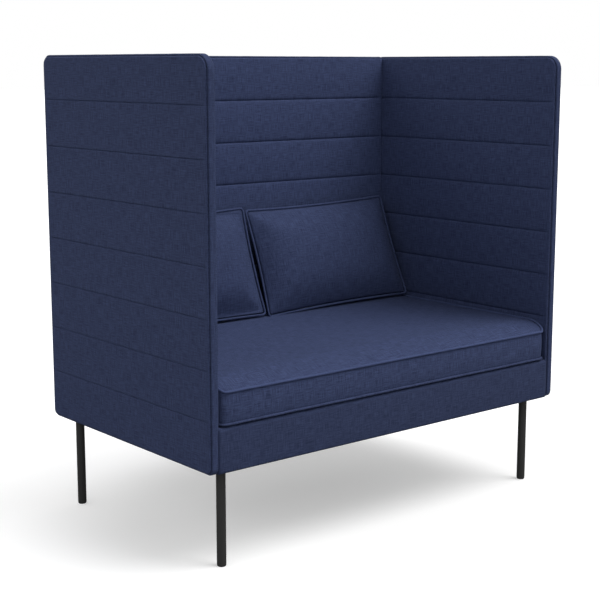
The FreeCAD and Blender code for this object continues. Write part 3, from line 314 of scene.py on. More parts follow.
def channel_cover(reach, top_round, kind, seed):
    """One side of a panel: a sheet of channels with a rolled rim, tucked seams and fine gathers."""
    face = FACES[kind]
    half, low, high = reach - COVER_INSET, PANEL_LOW + COVER_INSET, PANEL_HIGH - COVER_INSET
    corners = (half, low, high, CORNER_LOW - COVER_INSET, top_round - COVER_INSET)
    pitch = (PANEL_HIGH - PANEL_LOW) / CHANNELS
    inner_seams = [PANEL_LOW + pitch * row + face["seam_shift"] for row in range(1, CHANNELS)]
    seams = [low] + inner_seams + [high]

    def place(u, v):
        part = abs(2.0 * u - 1.0)
        if part < FLAT_SHARE:
            x = part / FLAT_SHARE * (half - COVER_ROLL)
        else:
            turn = (part - FLAT_SHARE) / (1.0 - FLAT_SHARE)
            x = half - COVER_ROLL + COVER_ROLL * math.sin(turn * math.pi / 2.0)
        x = math.copysign(x, u - 0.5)
        channel = min(int(v * CHANNELS), CHANNELS - 1)
        step = v * CHANNELS - channel
        step -= ROW_CROWDING * math.sin(2.0 * math.pi * step)
        bottom, top = seams[channel], seams[channel + 1]
        y = bottom + (top - bottom) * step
        x, y = round_corner(x, y, *corners)
        depth = outline_depth(x, y, *corners)
        inside = min(depth / RIM_FADE, 1.0)
        to_seam = min((y - bottom) if channel > 0 else 1.0, (top - y) if channel < CHANNELS - 1 else 1.0)
        nearest = channel if y - bottom < top - y else channel + 1
        out = COVER_RIM + (face["top"] - COVER_RIM) * roll(depth / COVER_ROLL)
        out -= face["tuck"] * (1.0 - roll(to_seam / face["tuck_width"])) * inside
        out -= face["stitch"] * max(0.0, 1.0 - to_seam / STITCH_WIDTH) * inside
        out += face["crest"] * math.sin(math.pi * step) * roll(inside)
        gather = noise.noise(Vector((x * GATHERS_PER_METRE, nearest * SEAM_STEP + seed, 0.0)))
        out += GATHER * gather * math.exp(-to_seam / GATHER_REACH) * inside
        out += UNEVEN * noise.noise(Vector((x * UNEVEN_ALONG, y * UNEVEN_UP, seed))) * inside
        return Vector((x, y, out))

    mesh = shaped_grid(COVER_COLUMNS, CHANNEL_ROWS * CHANNELS, place)
    close_back(mesh, lambda point: Vector((point.x, point.y, COVER_BED)))
    lay_weave(mesh)
    return mesh


FRONT_ROUND = 0.042


def ease_front_corner(mesh, front):
    """Draws the upper front corner of a side panel in to a wider round. Front is the way to it, 1 or -1."""
    start_x, start_y = SIDE_REACH - FRONT_ROUND, PANEL_HIGH - FRONT_ROUND
    spare = FRONT_ROUND - CORNER_HIGH
    for vert in mesh.verts:
        x, y = front * vert.co.x - start_x, vert.co.y - start_y
        if min(x, y) <= 0.0:
            continue
        length = math.hypot(x, y)
        if min(x, y) * FRONT_ROUND < spare * max(x, y):
            edge = FRONT_ROUND * length / max(x, y)
        else:
            middle = spare * (x + y) / length
            edge = middle + math.sqrt(middle ** 2 - 2.0 * spare ** 2 + CORNER_HIGH ** 2)
        vert.co.x = front * (start_x + x * FRONT_ROUND / edge)
        vert.co.y = start_y + y * FRONT_ROUND / edge


PANELS = {
    "left": (Vector((-SIDE_MIDDLE, 0, 0)), LEFT, SIDE_REACH, CORNER_HIGH),
    "right": (Vector((SIDE_MIDDLE, 0, 0)), -LEFT, SIDE_REACH, CORNER_HIGH),
    "back": (Vector((0, BACK_MIDDLE, 0)), -FRONT, BACK_REACH, CORNER_BACK),
}
for seed, (name, (middle, outward, reach, top_round)) in enumerate(PANELS.items()):
    for kind, facing in (("inner", -outward), ("outer", outward)):
        mesh = channel_cover(reach, top_round, kind, 10.0 * seed + (5.0 if kind == "inner" else 0.0))
        ease_front_corner(mesh, -facing.x)
        mesh.transform(standing(middle, facing))
        covered = [f"{name}_panel_{kind}_cover"] + ([f"{name}_panel_foam"] if kind == "inner" else [])
        # The back panel's inner side gets the lighter copy of the cloth, as painted light.
        cloth = navy_back_painted_light if (name, kind) == ("back", "inner") else navy
        cover = make_piece(mesh, f"{name}_panel_{kind}_quilt", cloth, "sofa", "navy_weave", *covered)

# Side panel boards: the plywood cores of the two side panels, sawn with the wider round at the upper front
# corner that the covers follow.

BOARD_INSET, BOARD_HALF, BOARD_COLUMNS, BOARD_ROWS = 0.0026, 0.0059, 120, 160
BOARD_PLAN = (SIDE_REACH - BOARD_INSET, PANEL_LOW + BOARD_INSET, PANEL_HIGH - BOARD_INSET,
              CORNER_LOW - BOARD_INSET, CORNER_HIGH - BOARD_INSET)


def board_place(u, v):
    """Point of a side board's outer face."""
    half, low, high = BOARD_PLAN[:3]
    x, y = round_corner((2.0 * u - 1.0) * half, low + (high - low) * v, *BOARD_PLAN)
    return Vector((x, y, BOARD_HALF))


for name in ("left", "right"):
    middle, outward = PANELS[name][:2]
    mesh = shaped_grid(BOARD_COLUMNS, BOARD_ROWS, board_place)
    close_back(mesh, lambda point: Vector((point.x, point.y, -BOARD_HALF)))
    ease_front_corner(mesh, -outward.x)
    mesh.transform(standing(middle, outward))
    make_piece(mesh, f"{name}_panel_board", birch, "sofa", "plywood", f"{name}_panel_core")

# Edge bands: a strip of the same cloth round the whole rim of each panel, sewn to both covers. It is flat
# along its middle and rolls in to both seams, so that they read as fine dark lines.

BAND_FLAT, BAND_ROUND, BAND_TURN, BAND_WALL = 0.0060, 0.0032, math.radians(145.0), 0.0025
BAND_SINK, BAND_UNEVEN, BAND_UNEVEN_PITCH = 0.0004, 0.0003, 30.0
BAND_COLUMNS, BAND_ROWS = 760, 22


def rim_point(share, half_width, low, high, low_radius, high_radius):
    """Point and outward direction at a share of the way round a rounded rectangle, from bottom middle."""
    runs = [("line", half_width - low_radius), ("arc", low_radius * math.pi / 2.0),
            ("line", high - low - low_radius - high_radius), ("arc", high_radius * math.pi / 2.0),
            ("line", half_width - high_radius)]
    total = 2.0 * sum(length for _, length in runs)
    travel = min(share, 1.0 - share) * total
    x, y, heading = 0.0, low, 0.0
    for (kind, length), radius in zip(runs, (0, low_radius, 0, high_radius, 0)):
        used = min(travel, length)
        if kind == "line":
            x += used * math.cos(heading)
            y += used * math.sin(heading)
        else:
            turn = used / radius
            x += radius * (math.sin(heading + turn) - math.sin(heading))
            y += radius * (math.cos(heading) - math.cos(heading + turn))
            heading += turn
        travel -= used
    out = Vector((math.sin(heading), -math.cos(heading), 0.0))
    if share > 0.5:
        x, out.x = -x, -out.x
    return Vector((x, y, 0.0)), out


def edge_band(reach, top_round, seed):
    """Strip round the rim of a panel, curled in along both edges, with the thickness of the cloth."""
    outline = (reach, PANEL_LOW, PANEL_HIGH, CORNER_LOW, top_round)

    def place(u, v):
        point, out = rim_point(u, *outline)
        across = (2.0 * v - 1.0) * (BAND_FLAT + BAND_ROUND * BAND_TURN)
        turn = max(0.0, abs(across) - BAND_FLAT) / BAND_ROUND
        level = min(abs(across), BAND_FLAT) + BAND_ROUND * math.sin(turn)
        drop = BAND_SINK + BAND_ROUND * (1.0 - math.cos(turn))
        spot = Vector((point.x * BAND_UNEVEN_PITCH, point.y * BAND_UNEVEN_PITCH, seed))
        drop -= BAND_UNEVEN * noise.noise(spot)
        return point - out * drop + Vector((0, 0, math.copysign(level, across)))

    mesh = shaped_grid(BAND_COLUMNS, BAND_ROWS, place)
    bmesh.ops.remove_doubles(mesh, verts=mesh.verts, dist=0.00005)
    bmesh.ops.recalc_face_normals(mesh, faces=mesh.faces)
    middle = Vector((0, (PANEL_LOW + PANEL_HIGH) / 2.0, 0))
    if sum(face.normal.dot(face.calc_center_median() - middle) for face in mesh.faces) < 0.0:
        bmesh.ops.reverse_faces(mesh, faces=mesh.faces)
    bmesh.ops.solidify(mesh, geom=mesh.faces[:], thickness=BAND_WALL)
    lay_weave(mesh)
    return mesh


for seed, (name, (middle, outward, reach, top_round)) in enumerate(PANELS.items()):
    mesh = edge_band(reach, top_round, 3.0 * seed)
    ease_front_corner(mesh, -outward.x)
    mesh.transform(standing(middle, outward))
    make_piece(mesh, f"{name}_panel_band", navy, "sofa", "navy_weave", f"{name}_panel_edge_band")

# Seat springs: eight zigzag wires in clips from the front rail to the rear rail, level runs joined by half
# turns, in oiled spring steel.

SPRINGS, SPRING_TURNS, SPRING_WIRE, SPRING_RUN = 8, 28, 0.0036, 0.014
TURN_STEPS = 7
spring_low, spring_high = (Vector(corner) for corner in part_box("seat_springs"))
turn_radius = (spring_high.y - spring_low.y - SPRING_WIRE) / SPRING_TURNS / 2.0
spring_reach = SPRING_RUN + turn_radius + SPRING_WIRE / 2.0
spring_line = bpy.data.curves.new("spring_line", "CURVE")
spring_line.dimensions = "3D"
spring_line.bevel_depth = SPRING_WIRE / 2.0
spring_line.bevel_resolution = 2
spring_line.use_fill_caps = True
for index in range(SPRINGS):
    across = spring_low.x + spring_reach
    across += (spring_high.x - spring_low.x - 2.0 * spring_reach) * index / (SPRINGS - 1)
    route = []
    for turn in range(SPRING_TURNS + 1):
        way = 1.0 if turn % 2 == 0 else -1.0
        y = spring_low.y + SPRING_WIRE / 2.0 + 2.0 * turn_radius * turn
        route.append((across - way * SPRING_RUN, y))
        for step in range(TURN_STEPS if turn < SPRING_TURNS else 0):
            angle = math.pi * ((step + 0.5) / TURN_STEPS - 0.5)
            route.append((across + way * (SPRING_RUN + turn_radius * math.cos(angle)),
                          y + turn_radius * (1.0 + math.sin(angle))))
    route.append((across + SPRING_RUN, spring_high.y - SPRING_WIRE / 2.0))
    wire = spring_line.splines.new("POLY")
    wire.points.add(len(route) - 1)
    for point, (x, y) in zip(wire.points, route):
        point.co = (x, y, (spring_low.z + spring_high.z) / 2.0, 1.0)
spring_holder = bpy.data.objects.new("spring_line", spring_line)
bpy.context.scene.collection.objects.link(spring_holder)
mesh = bmesh.new()
mesh.from_mesh(spring_holder.to_mesh())
bpy.data.objects.remove(spring_holder)
bpy.data.curves.remove(spring_line)
make_piece(mesh, "spring_wires", spring_wire, "sofa", "spring_steel", "seat_springs")

# Seat deck: a grey felt pad over the springs, and over it a black cloth stapled to the rails. Under the
# frame a thin black dust cover closes the base, cut out round the four leg plates.

FIBRE_LENGTH = 6.0


def fibre_finish(name, dark, light, fibre, depth):
    """Pressed or thin cloth with a fine crossing fibre."""
    finish, tree, shader = start_finish(name, Roughness=0.95)
    drawn_out = fibre / FIBRE_LENGTH
    across = speckle(tree, stretched(tree, "Object", (fibre, drawn_out, fibre)), Detail=5.0, Distortion=1.5)
    along = speckle(tree, stretched(tree, "Object", (drawn_out, fibre, fibre)), Detail=5.0, Distortion=1.5)
    both = add(tree, "ShaderNodeMath", operation="MULTIPLY")
    tree.links.new(across, both.inputs[0])
    tree.links.new(along, both.inputs[1])
    tinted(tree, shader, both.outputs["Value"], dark, light, spread=(0.1, 0.45))
    relief(tree, shader, both.outputs["Value"], depth)
    return finish


grey_felt = fibre_finish("grey_felt", (0.10, 0.10, 0.11), (0.24, 0.24, 0.25), fibre=900.0, depth=0.0008)
black_cloth = fibre_finish("black_cloth", (0.010, 0.010, 0.011), (0.024, 0.024, 0.026), fibre=1500.0,
                           depth=0.0003)
SHEET_EDGE, SHEET_WALL, SHEET_COLUMNS, SHEET_ROWS = 0.0006, 0.0006, 60, 40
WAVE_PITCH, WAVE_SEED, WAVE_FADE = 9.0, 4.0, 8.0


def laid_sheet(node, waviness, sag):
    """Sheet over the plan of a CAD node, with slight waves in it and a sag in the middle."""
    low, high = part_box(node)

    def place(u, v):
        x = low[0] + SHEET_EDGE + (high[0] - low[0] - 2.0 * SHEET_EDGE) * u
        y = low[1] + SHEET_EDGE + (high[1] - low[1] - 2.0 * SHEET_EDGE) * v
        inside = roll(WAVE_FADE * min(u, 1.0 - u)) * roll(WAVE_FADE * min(v, 1.0 - v))
        wave = waviness * (noise.noise(Vector((x * WAVE_PITCH, y * WAVE_PITCH, WAVE_SEED))) - 0.5) * inside
        return Vector((x, y, high[2] + wave - sag * inside))

    return shaped_grid(SHEET_COLUMNS, SHEET_ROWS, place)


def thicken(mesh, wall):
    """Gives a level sheet its thickness downwards."""
    made = bmesh.ops.extrude_face_region(mesh, geom=mesh.faces[:])["geom"]
    lower = [vert for vert in made if isinstance(vert, bmesh.types.BMVert)]
    bmesh.ops.translate(mesh, vec=(0.0, 0.0, -wall), verts=lower)
    bmesh.ops.recalc_face_normals(mesh, faces=mesh.faces)


FELT_SPARE = 0.0008
felt_low, felt_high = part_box("deck_felt")
mesh = laid_sheet("deck_felt", waviness=0.0006, sag=0.0)
thicken(mesh, felt_high[2] - felt_low[2] - FELT_SPARE)
felt = make_piece(mesh, "felt_pad", grey_felt, "sofa", "felt", "deck_felt")

mesh = laid_sheet("deck_cloth", waviness=0.0004, sag=0.0)
thicken(mesh, SHEET_WALL)
deck = make_piece(mesh, "deck_sheet", black_cloth, "sofa", "black_cloth", "deck_cloth")

WINDOW_MIDDLES = [(x, y) for x in (-0.5698, 0.5698) for y in (-0.3444, 0.3148)]
WINDOW_HALF_X, WINDOW_HALF_Y = 0.046, 0.036
mesh = laid_sheet("dust_cover", waviness=0.0004, sag=0.0012)
for x, y in WINDOW_MIDDLES:
    left, right, near, far = x - WINDOW_HALF_X, x + WINDOW_HALF_X, y - WINDOW_HALF_Y, y + WINDOW_HALF_Y
    for middle, normal in (((left, y, 0), (1, 0, 0)), ((right, y, 0), (1, 0, 0)),
                           ((x, near, 0), (0, 1, 0)), ((x, far, 0), (0, 1, 0))):
        bmesh.ops.bisect_plane(mesh, geom=mesh.verts[:] + mesh.edges[:] + mesh.faces[:], dist=0.00001,
                               plane_co=middle, plane_no=normal)
    opening = []
    for face in mesh.faces:
        spot = face.calc_center_median()
        if left < spot.x < right and near < spot.y < far:
            opening.append(face)
    bmesh.ops.delete(mesh, geom=opening, context="FACES")
thicken(mesh, SHEET_WALL)
dust = make_piece(mesh, "dust_sheet", black_cloth, "sofa", "black_cloth", "dust_cover")

# Apron: a strip of the same cloth over thin foam on the front rail, pulled round its upper and lower edge
# and tacked out of sight.


def run_length(points):
    """Length of a line of points."""
    return sum((after - before).length for before, after in zip(points, points[1:]))


def along_line(points, share):
    """Point at a share of the way along a line of points."""
    left = share * run_length(points)
    for before, after in zip(points, points[1:]):
        step = (after - before).length
        if left <= step:
            return before.lerp(after, left / step)
        left -= step
    return points[-1].copy()


def quarter_round(middle, radius, start, steps=6):
    """Points on a quarter round in the side view, from an angle onwards."""
    angles = [start + math.pi / 2.0 * step / steps for step in range(steps + 1)]
    return [middle + radius * Vector((0.0, math.cos(angle), math.sin(angle))) for angle in angles]


apron_low, apron_high = (Vector(corner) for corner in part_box("apron_cover"))
APRON_HALF, APRON_DROP = 0.6235, 0.0012
apron_high.z -= APRON_DROP
APRON_TOP_ROUND, APRON_FOOT_ROUND, APRON_SWELL, APRON_BACK = 0.010, 0.006, 0.0015, 0.0105
APRON_WALL, APRON_SWELL_REACH, APRON_UNEVEN = 0.0013, 0.004, 0.0004
APRON_UNEVEN_ALONG, APRON_UNEVEN_UP, APRON_SEED = 14.0, 2.0, 8.0
APRON_COLUMNS, APRON_ROWS = 150, 90
apron_face = apron_low.y + APRON_SWELL
apron_side = [Vector((0, apron_high.y, apron_high.z))]
apron_side += quarter_round(Vector((0, apron_face + APRON_TOP_ROUND, apron_high.z - APRON_TOP_ROUND)),
                            APRON_TOP_ROUND, math.pi / 2.0)
apron_side += quarter_round(Vector((0, apron_face + APRON_FOOT_ROUND, apron_low.z + APRON_FOOT_ROUND)),
                            APRON_FOOT_ROUND, math.pi)
apron_side += [Vector((0, apron_low.y + APRON_BACK, apron_low.z)),
               Vector((0, apron_low.y + APRON_BACK, apron_high.z - APRON_WALL)),
               Vector((0, apron_high.y, apron_high.z - APRON_WALL)),
               Vector((0, apron_high.y, apron_high.z))]


def apron_place(u, v):
    """Point of the apron's cloth, at u along the rail and v round its side view."""
    point = along_line(apron_side, v)
    height = (point.z - apron_low.z) / (apron_high.z - apron_low.z)
    front = max(0.0, 1.0 - (point.y - apron_face) / APRON_SWELL_REACH)
    point.y -= APRON_SWELL * front * math.sin(math.pi * height)
    spot = Vector((u * APRON_UNEVEN_ALONG, height * APRON_UNEVEN_UP, APRON_SEED))
    point.y += APRON_UNEVEN * front * noise.noise(spot)
    point.x = (2.0 * u - 1.0) * APRON_HALF
    return point


mesh = shaped_grid(APRON_COLUMNS, APRON_ROWS, apron_place)
bmesh.ops.remove_doubles(mesh, verts=mesh.verts, dist=0.00002)
bmesh.ops.holes_fill(mesh, edges=[edge for edge in mesh.edges if edge.is_boundary], sides=0)
bmesh.ops.recalc_face_normals(mesh, faces=mesh.faces)
lay_weave(mesh)
# The apron takes a darker copy of the cloth: painted shade, for the shade that falls on the front rail.
navy_apron_painted_shade = weave_finish("navy_apron_painted_shade_weave", YARN, painted_light_factor=0.85)
apron = make_piece(mesh, "apron_front", navy_apron_painted_shade, "sofa", "navy_weave", "apron_cover", "apron_foam")

# Legs: round steel tube welded to a plate under each corner, black satin lacquer, with a threaded plug and
# a black plastic levelling glide at the foot.

CORNERS = ("front_left", "front_right", "rear_left", "rear_right")
dress(black_lacquer, *(f"leg_{corner}" for corner in CORNERS))
dress(black_plastic, *(f"glide_{corner}" for corner in CORNERS))

# Seat cushion: one wide foam block in a boxed cover. The top cover is full and rolls down to a piped seam
# all round, a second piped seam runs along the foot, and a zip closes the rear.

SEAT_HALF, SEAT_FRONT, SEAT_REAR = 0.6122, -0.3885, 0.3420
SEAT_CORNER_FRONT, SEAT_CORNER_REAR = 0.022, 0.030
SEAT_FOOT, SEAM_LOW, SEAM_HIGH = 0.3869, 0.3900, 0.4740
SEAT_CROWN, SEAT_SHOULDER, SEAT_END_SHOULDER, SEAT_BULGE = 0.0265, 0.060, 0.026, 0.0032
SEAT_CEILING, SEAT_END_RISE, SEAT_END_CLIMB, SEAT_FULLNESS = 0.5040, 0.028, 0.060, 2.5
SEAT_PLAN = (SEAT_HALF, SEAT_FRONT, SEAT_REAR, SEAT_CORNER_FRONT, SEAT_CORNER_REAR)
PIPING = 0.0035
PIPING_OUT = 0.0020
PIPING_PLAN = (SEAT_HALF + PIPING_OUT, SEAT_FRONT - PIPING_OUT, SEAT_REAR + PIPING_OUT,
               SEAT_CORNER_FRONT + PIPING_OUT, SEAT_CORNER_REAR + PIPING_OUT)
FILLING_FRAMES, FILLING_PRESSURE, SEAT_FILLING_REACH = 20, 4.0, 0.010


def inflate(mesh, name, held, pressure, reach):
    """Air pressure fills a sewn cover. Held points stay, and no point moves further than a reach."""
    mesh.verts.index_update()
    data = bpy.data.meshes.new(name)
    mesh.to_mesh(data)
    cover = bpy.data.objects.new(name, data)
    scene = bpy.context.scene
    scene.collection.objects.link(cover)
    pins = cover.vertex_groups.new(name="held")
    pins.add([vert.index for vert in mesh.verts if held(vert.co)], 1.0, "REPLACE")
    cloth = cover.modifiers.new("cloth", "CLOTH")
    cloth.settings.quality = 6
    cloth.settings.mass = 0.4
    cloth.settings.tension_stiffness = 30.0
    cloth.settings.compression_stiffness = 30.0
    cloth.settings.shear_stiffness = 8.0
    cloth.settings.bending_stiffness = 1.5
    cloth.settings.vertex_group_mass = "held"
    cloth.settings.use_pressure = True
    cloth.settings.uniform_pressure_force = pressure
    cloth.settings.effector_weights.gravity = 0.0
    cloth.point_cache.frame_start = 1
    cloth.point_cache.frame_end = FILLING_FRAMES
    for step in range(1, FILLING_FRAMES + 1):
        scene.frame_set(step)
    filled = cover.evaluated_get(bpy.context.evaluated_depsgraph_get()).data
    for vert, after in zip(mesh.verts, filled.vertices):
        move = after.co - vert.co
        if move.length > 0.0:
            vert.co += move * (reach * math.tanh(move.length / reach) / move.length)
    bpy.data.objects.remove(cover)
    bpy.data.meshes.remove(data)
    scene.frame_set(1)


def swell(share):
    """Rise of a full cover from its seam, both from 0 to 1."""
    return 1.0 - (1.0 - min(max(share, 0.0), 1.0)) ** SEAT_FULLNESS


def seam_level(x, y):
    """Height of the upper seam, which climbs along both ends behind the corners."""
    at_end = max(0.0, 1.0 - (SEAT_HALF - abs(x)) / SEAT_END_CLIMB)
    behind = min(max(min(y - SEAT_FRONT, SEAT_REAR - y) / SEAT_END_CLIMB, 0.0), 1.0)
    return SEAM_HIGH + SEAT_END_RISE * math.sin(math.pi / 2.0 * at_end) * math.sin(math.pi / 2.0 * behind)


def seat_place(u, v):
    """Point of the seat's top cover before it is filled."""
    x, y = (2.0 * u - 1.0) * SEAT_HALF, SEAT_FRONT + (SEAT_REAR - SEAT_FRONT) * v
    x, y = round_corner(x, y, *SEAT_PLAN)
    inside = outline_depth(x, y, *SEAT_PLAN)
    over_ends = swell(min(inside, SEAT_HALF - abs(x)) / SEAT_END_SHOULDER)
    over_front = swell(min(y - SEAT_FRONT, SEAT_REAR - y) / SEAT_SHOULDER)
    seam = seam_level(x, y)
    full = SEAM_HIGH + SEAT_CROWN * over_front
    return Vector((x, y, max(seam, seam * (1.0 - over_ends) + over_ends * full)))


def seat_outward(point):
    """Level direction out of the seat's plan at a point on its rim."""
    middle = (SEAT_FRONT + SEAT_REAR) / 2.0
    radius = SEAT_CORNER_REAR if point.y > middle else SEAT_CORNER_FRONT
    over_x = abs(point.x) - SEAT_HALF + radius
    over_y = abs(point.y - middle) - (SEAT_REAR - SEAT_FRONT) / 2.0 + radius
    across = math.copysign(max(over_x, 0.0), point.x)
    along = math.copysign(max(over_y, 0.0), point.y - middle)
    return Vector((across, along, 0.0)).normalized()


FOOT_NEAR, SEAM_NEAR = 0.0005, 0.0004


def on_seat_seam(point):
    """True for the points that the seams and the foot of the cover hold in place."""
    if point.z < SEAM_LOW + FOOT_NEAR:
        return True
    at_rim = outline_depth(point.x, point.y, *SEAT_PLAN) < SEAM_NEAR
    return at_rim and abs(point.z - seam_level(point.x, point.y)) < SEAM_NEAR


CEILING_EASE = 0.004
SEAT_LIMIT_FRONT, SEAT_LIMIT_REAR, SEAT_LIMIT_SIDE = -0.3925, 0.3455, 0.6164
SEAT_COLUMNS, SEAT_ROWS = 112, 66
BOXING_ROWS, FOOT_INSET, END_BULGE_SHARE = 7, 0.006, 0.3
mesh = shaped_grid(SEAT_COLUMNS, SEAT_ROWS, seat_place)
for row in range(1, BOXING_ROWS + 2):
    rim = [edge for edge in mesh.edges if edge.is_boundary]
    made = bmesh.ops.extrude_edge_only(mesh, edges=rim)["geom"]
    before = SEAT_BULGE * math.sin(math.pi * (row - 1) / BOXING_ROWS)
    bulge = SEAT_BULGE * math.sin(math.pi * min(row, BOXING_ROWS) / BOXING_ROWS)
    for vert in made:
        if isinstance(vert, bmesh.types.BMVert):
            out = seat_outward(vert.co)
            vert.co -= out * max(END_BULGE_SHARE, -out.y) * (before - bulge)
            if row <= BOXING_ROWS:
                top = seam_level(vert.co.x, vert.co.y)
                vert.co.z = top + (SEAM_LOW - top) * row / BOXING_ROWS
            else:
                vert.co -= out * FOOT_INSET
                vert.co.z = SEAT_FOOT
above = set(mesh.verts)
bmesh.ops.create_grid(mesh, x_segments=SEAT_COLUMNS, y_segments=SEAT_ROWS, size=0.5)
for vert in mesh.verts:
    if vert not in above:
        point = seat_place(vert.co.x + 0.5, vert.co.y + 0.5)
        point -= seat_outward(point) * FOOT_INSET
        vert.co = (point.x, point.y, SEAT_FOOT)
bmesh.ops.remove_doubles(mesh, verts=mesh.verts, dist=0.00005)
bmesh.ops.recalc_face_normals(mesh, faces=mesh.faces)
inflate(mesh, "seat_filling", on_seat_seam, FILLING_PRESSURE, SEAT_FILLING_REACH)
for vert in mesh.verts:
    spare = SEAT_CEILING - CEILING_EASE
    if vert.co.z > spare:
        vert.co.z = spare + CEILING_EASE * math.tanh((vert.co.z - spare) / CEILING_EASE)
    vert.co.y = min(max(vert.co.y, SEAT_LIMIT_FRONT), SEAT_LIMIT_REAR)
    vert.co.x = min(max(vert.co.x, -SEAT_LIMIT_SIDE), SEAT_LIMIT_SIDE)
lay_weave(mesh)
# The seat cover, boxing included, takes a lighter copy of the cloth: painted light, for the light that
# falls on its top; its weave is also a little stronger.
navy_seat_painted_light = weave_finish("navy_seat_painted_light_weave", YARN, painted_light_factor=1.07, contrast=1.15)
seat = make_piece(mesh, "seat_cushion_cover", navy_seat_painted_light, "seat_cushion", "navy_weave", "seat_foam",
                  "seat_bottom_cover", "seat_boxing", "seat_top_cover")
finer = seat.modifiers.new("finer", "SUBSURF")
finer.levels = finer.render_levels = 1

PIPING_YARN, PIPING_COLUMNS, PIPING_ROWS = 0.0010, 640, 14
# The seat's top piping is a much lighter copy of the cloth: a painted highlight along the cord.
top_piping_painted_highlight = weave_finish("navy_piping", PIPING_YARN, painted_light_factor=1.45, contrast=0.6)
# The back cushions' rim piping is a lighter copy of the cloth too: a softer painted highlight along the
# cords.
pad_piping_painted_highlight = weave_finish("navy_pad_piping_painted_highlight", PIPING_YARN, painted_light_factor=1.15, contrast=0.6)


def tube(columns, path):
    """Cord round a closed path that gives a point, its outward direction and its upright for a share."""

    def place(u, v):
        point, out, up = path(u)
        turn = 2.0 * math.pi * v
        return point + PIPING * (math.cos(turn) * out + math.sin(turn) * up)

    mesh = shaped_grid(columns, PIPING_ROWS, place)
    bmesh.ops.remove_doubles(mesh, verts=mesh.verts, dist=0.00002)
    bmesh.ops.recalc_face_normals(mesh, faces=mesh.faces)
    return mesh


SEAM_WAVER, SEAM_WAVER_PITCH = 0.0006, 11.0


def seat_seam(level, seed):
    """Path of a piped seam round the seat, at a level that may change along it."""

    def path(share):
        point, out = rim_point(share, *PIPING_PLAN)
        spot = Vector((point.x * SEAM_WAVER_PITCH, point.y * SEAM_WAVER_PITCH, seed))
        waver = SEAM_WAVER * noise.noise(spot)
        return point + Vector((0, 0, level(point.x, point.y) + waver)), out, UP

    return path


SEAT_SEAMS = (("seat_top_piping", seam_level, top_piping_painted_highlight, ("seat_piping",)),
              ("seat_foot_piping", lambda x, y: SEAM_LOW + SEAM_WAVER, navy, ()))
for seed, (name, level, cloth, nodes) in enumerate(SEAT_SEAMS):
    mesh = tube(PIPING_COLUMNS, seat_seam(level, 7.0 * seed))
    lay_weave(mesh)
    make_piece(mesh, name, cloth, "seat_cushion", "navy_piping", *nodes)

# Zips: moulded teeth on dark tape, sewn in along the rear of the seat cushion and the foot of each back
# cushion, with a black lacquered slider on each.


def zip_finish(name, dark, light, pitch, metallic, roughness):
    """Fine teeth across a strip that runs from left to right."""
    finish, tree, shader = start_finish(name, Metallic=metallic, Roughness=roughness)
    teeth = add(tree, "ShaderNodeTexWave", bands_direction="X", Scale=math.pi / (10.0 * pitch))
    tree.links.new(stretched(tree, "Object", (1.0, 1.0, 1.0)), teeth.inputs["Vector"])
    tinted(tree, shader, teeth.outputs["Fac"], dark, light, spread=(0.2, 0.8))
    relief(tree, shader, teeth.outputs["Fac"], depth=0.0005)
    return finish


zip_teeth = zip_finish("zip_teeth", (0.012, 0.014, 0.026), (0.035, 0.040, 0.070),
                       pitch=0.002, metallic=0.0, roughness=0.5)
dress(zip_teeth, "seat_zip", "left_pad_zip", "right_pad_zip")
dress(black_lacquer, "seat_zip_slider", "left_pad_zip_slider", "right_pad_zip_slider")

# Back cushions: two loose pads of soft filling in two-piece covers, piped along the one seam round the rim
# and zipped at the foot. They stand on the seat and lean on the back panel.

PAD_HALF_WIDTH, PAD_HALF_HEIGHT, PAD_CORNER, PAD_PINCH = 0.2878, 0.1683, 0.009, 0.006
PAD_CORD_OUT = 0.0025
PAD_SWELL, PAD_SHOULDER, PAD_TILT, PAD_SEAM_FORWARD = 0.058, 0.105, 19.0, 0.003
PADS = {
    "left": {"middle": (-0.2895, 0.273, 0.669), "turn": 0.7, "spread": 0.0, "skew": 0.0},
    "right": {"middle": (0.3050, 0.273, 0.669), "turn": 1.1, "spread": 0.028, "skew": 0.0042},
}
PAD_PLAN = (PAD_HALF_WIDTH, -PAD_HALF_HEIGHT, PAD_HALF_HEIGHT, PAD_CORNER, PAD_CORNER)
PAD_FALL_ACROSS, PAD_FALL_UP, PAD_FULLNESS = 0.30, 0.34, 2.2
PAD_UNEVEN, PAD_UNEVEN_PITCH, PAD_FILLING_REACH, PAD_SEAM_NEAR = 0.05, 6.0, 0.008, 0.0005
PAD_SEAM_WAVER, PAD_SEAM_WAVER_PITCH = 0.0008, 14.0
PAD_COLUMNS, PAD_ROWS, PAD_CORD_COLUMNS = 58, 34, 420


def settled(x, y, pad):
    """Draws the sides of a pad in between its corners, spreads its foot and leans its top over."""
    across, up = x / PAD_HALF_WIDTH, y / PAD_HALF_HEIGHT
    x *= 1.0 - PAD_PINCH / PAD_HALF_WIDTH * max(0.0, 1.0 - up * up)
    y *= 1.0 - PAD_PINCH / PAD_HALF_HEIGHT * max(0.0, 1.0 - across * across)
    return x * (1.0 + pad["spread"] * (1.0 - up) / 2.0) - pad["skew"] * up, y


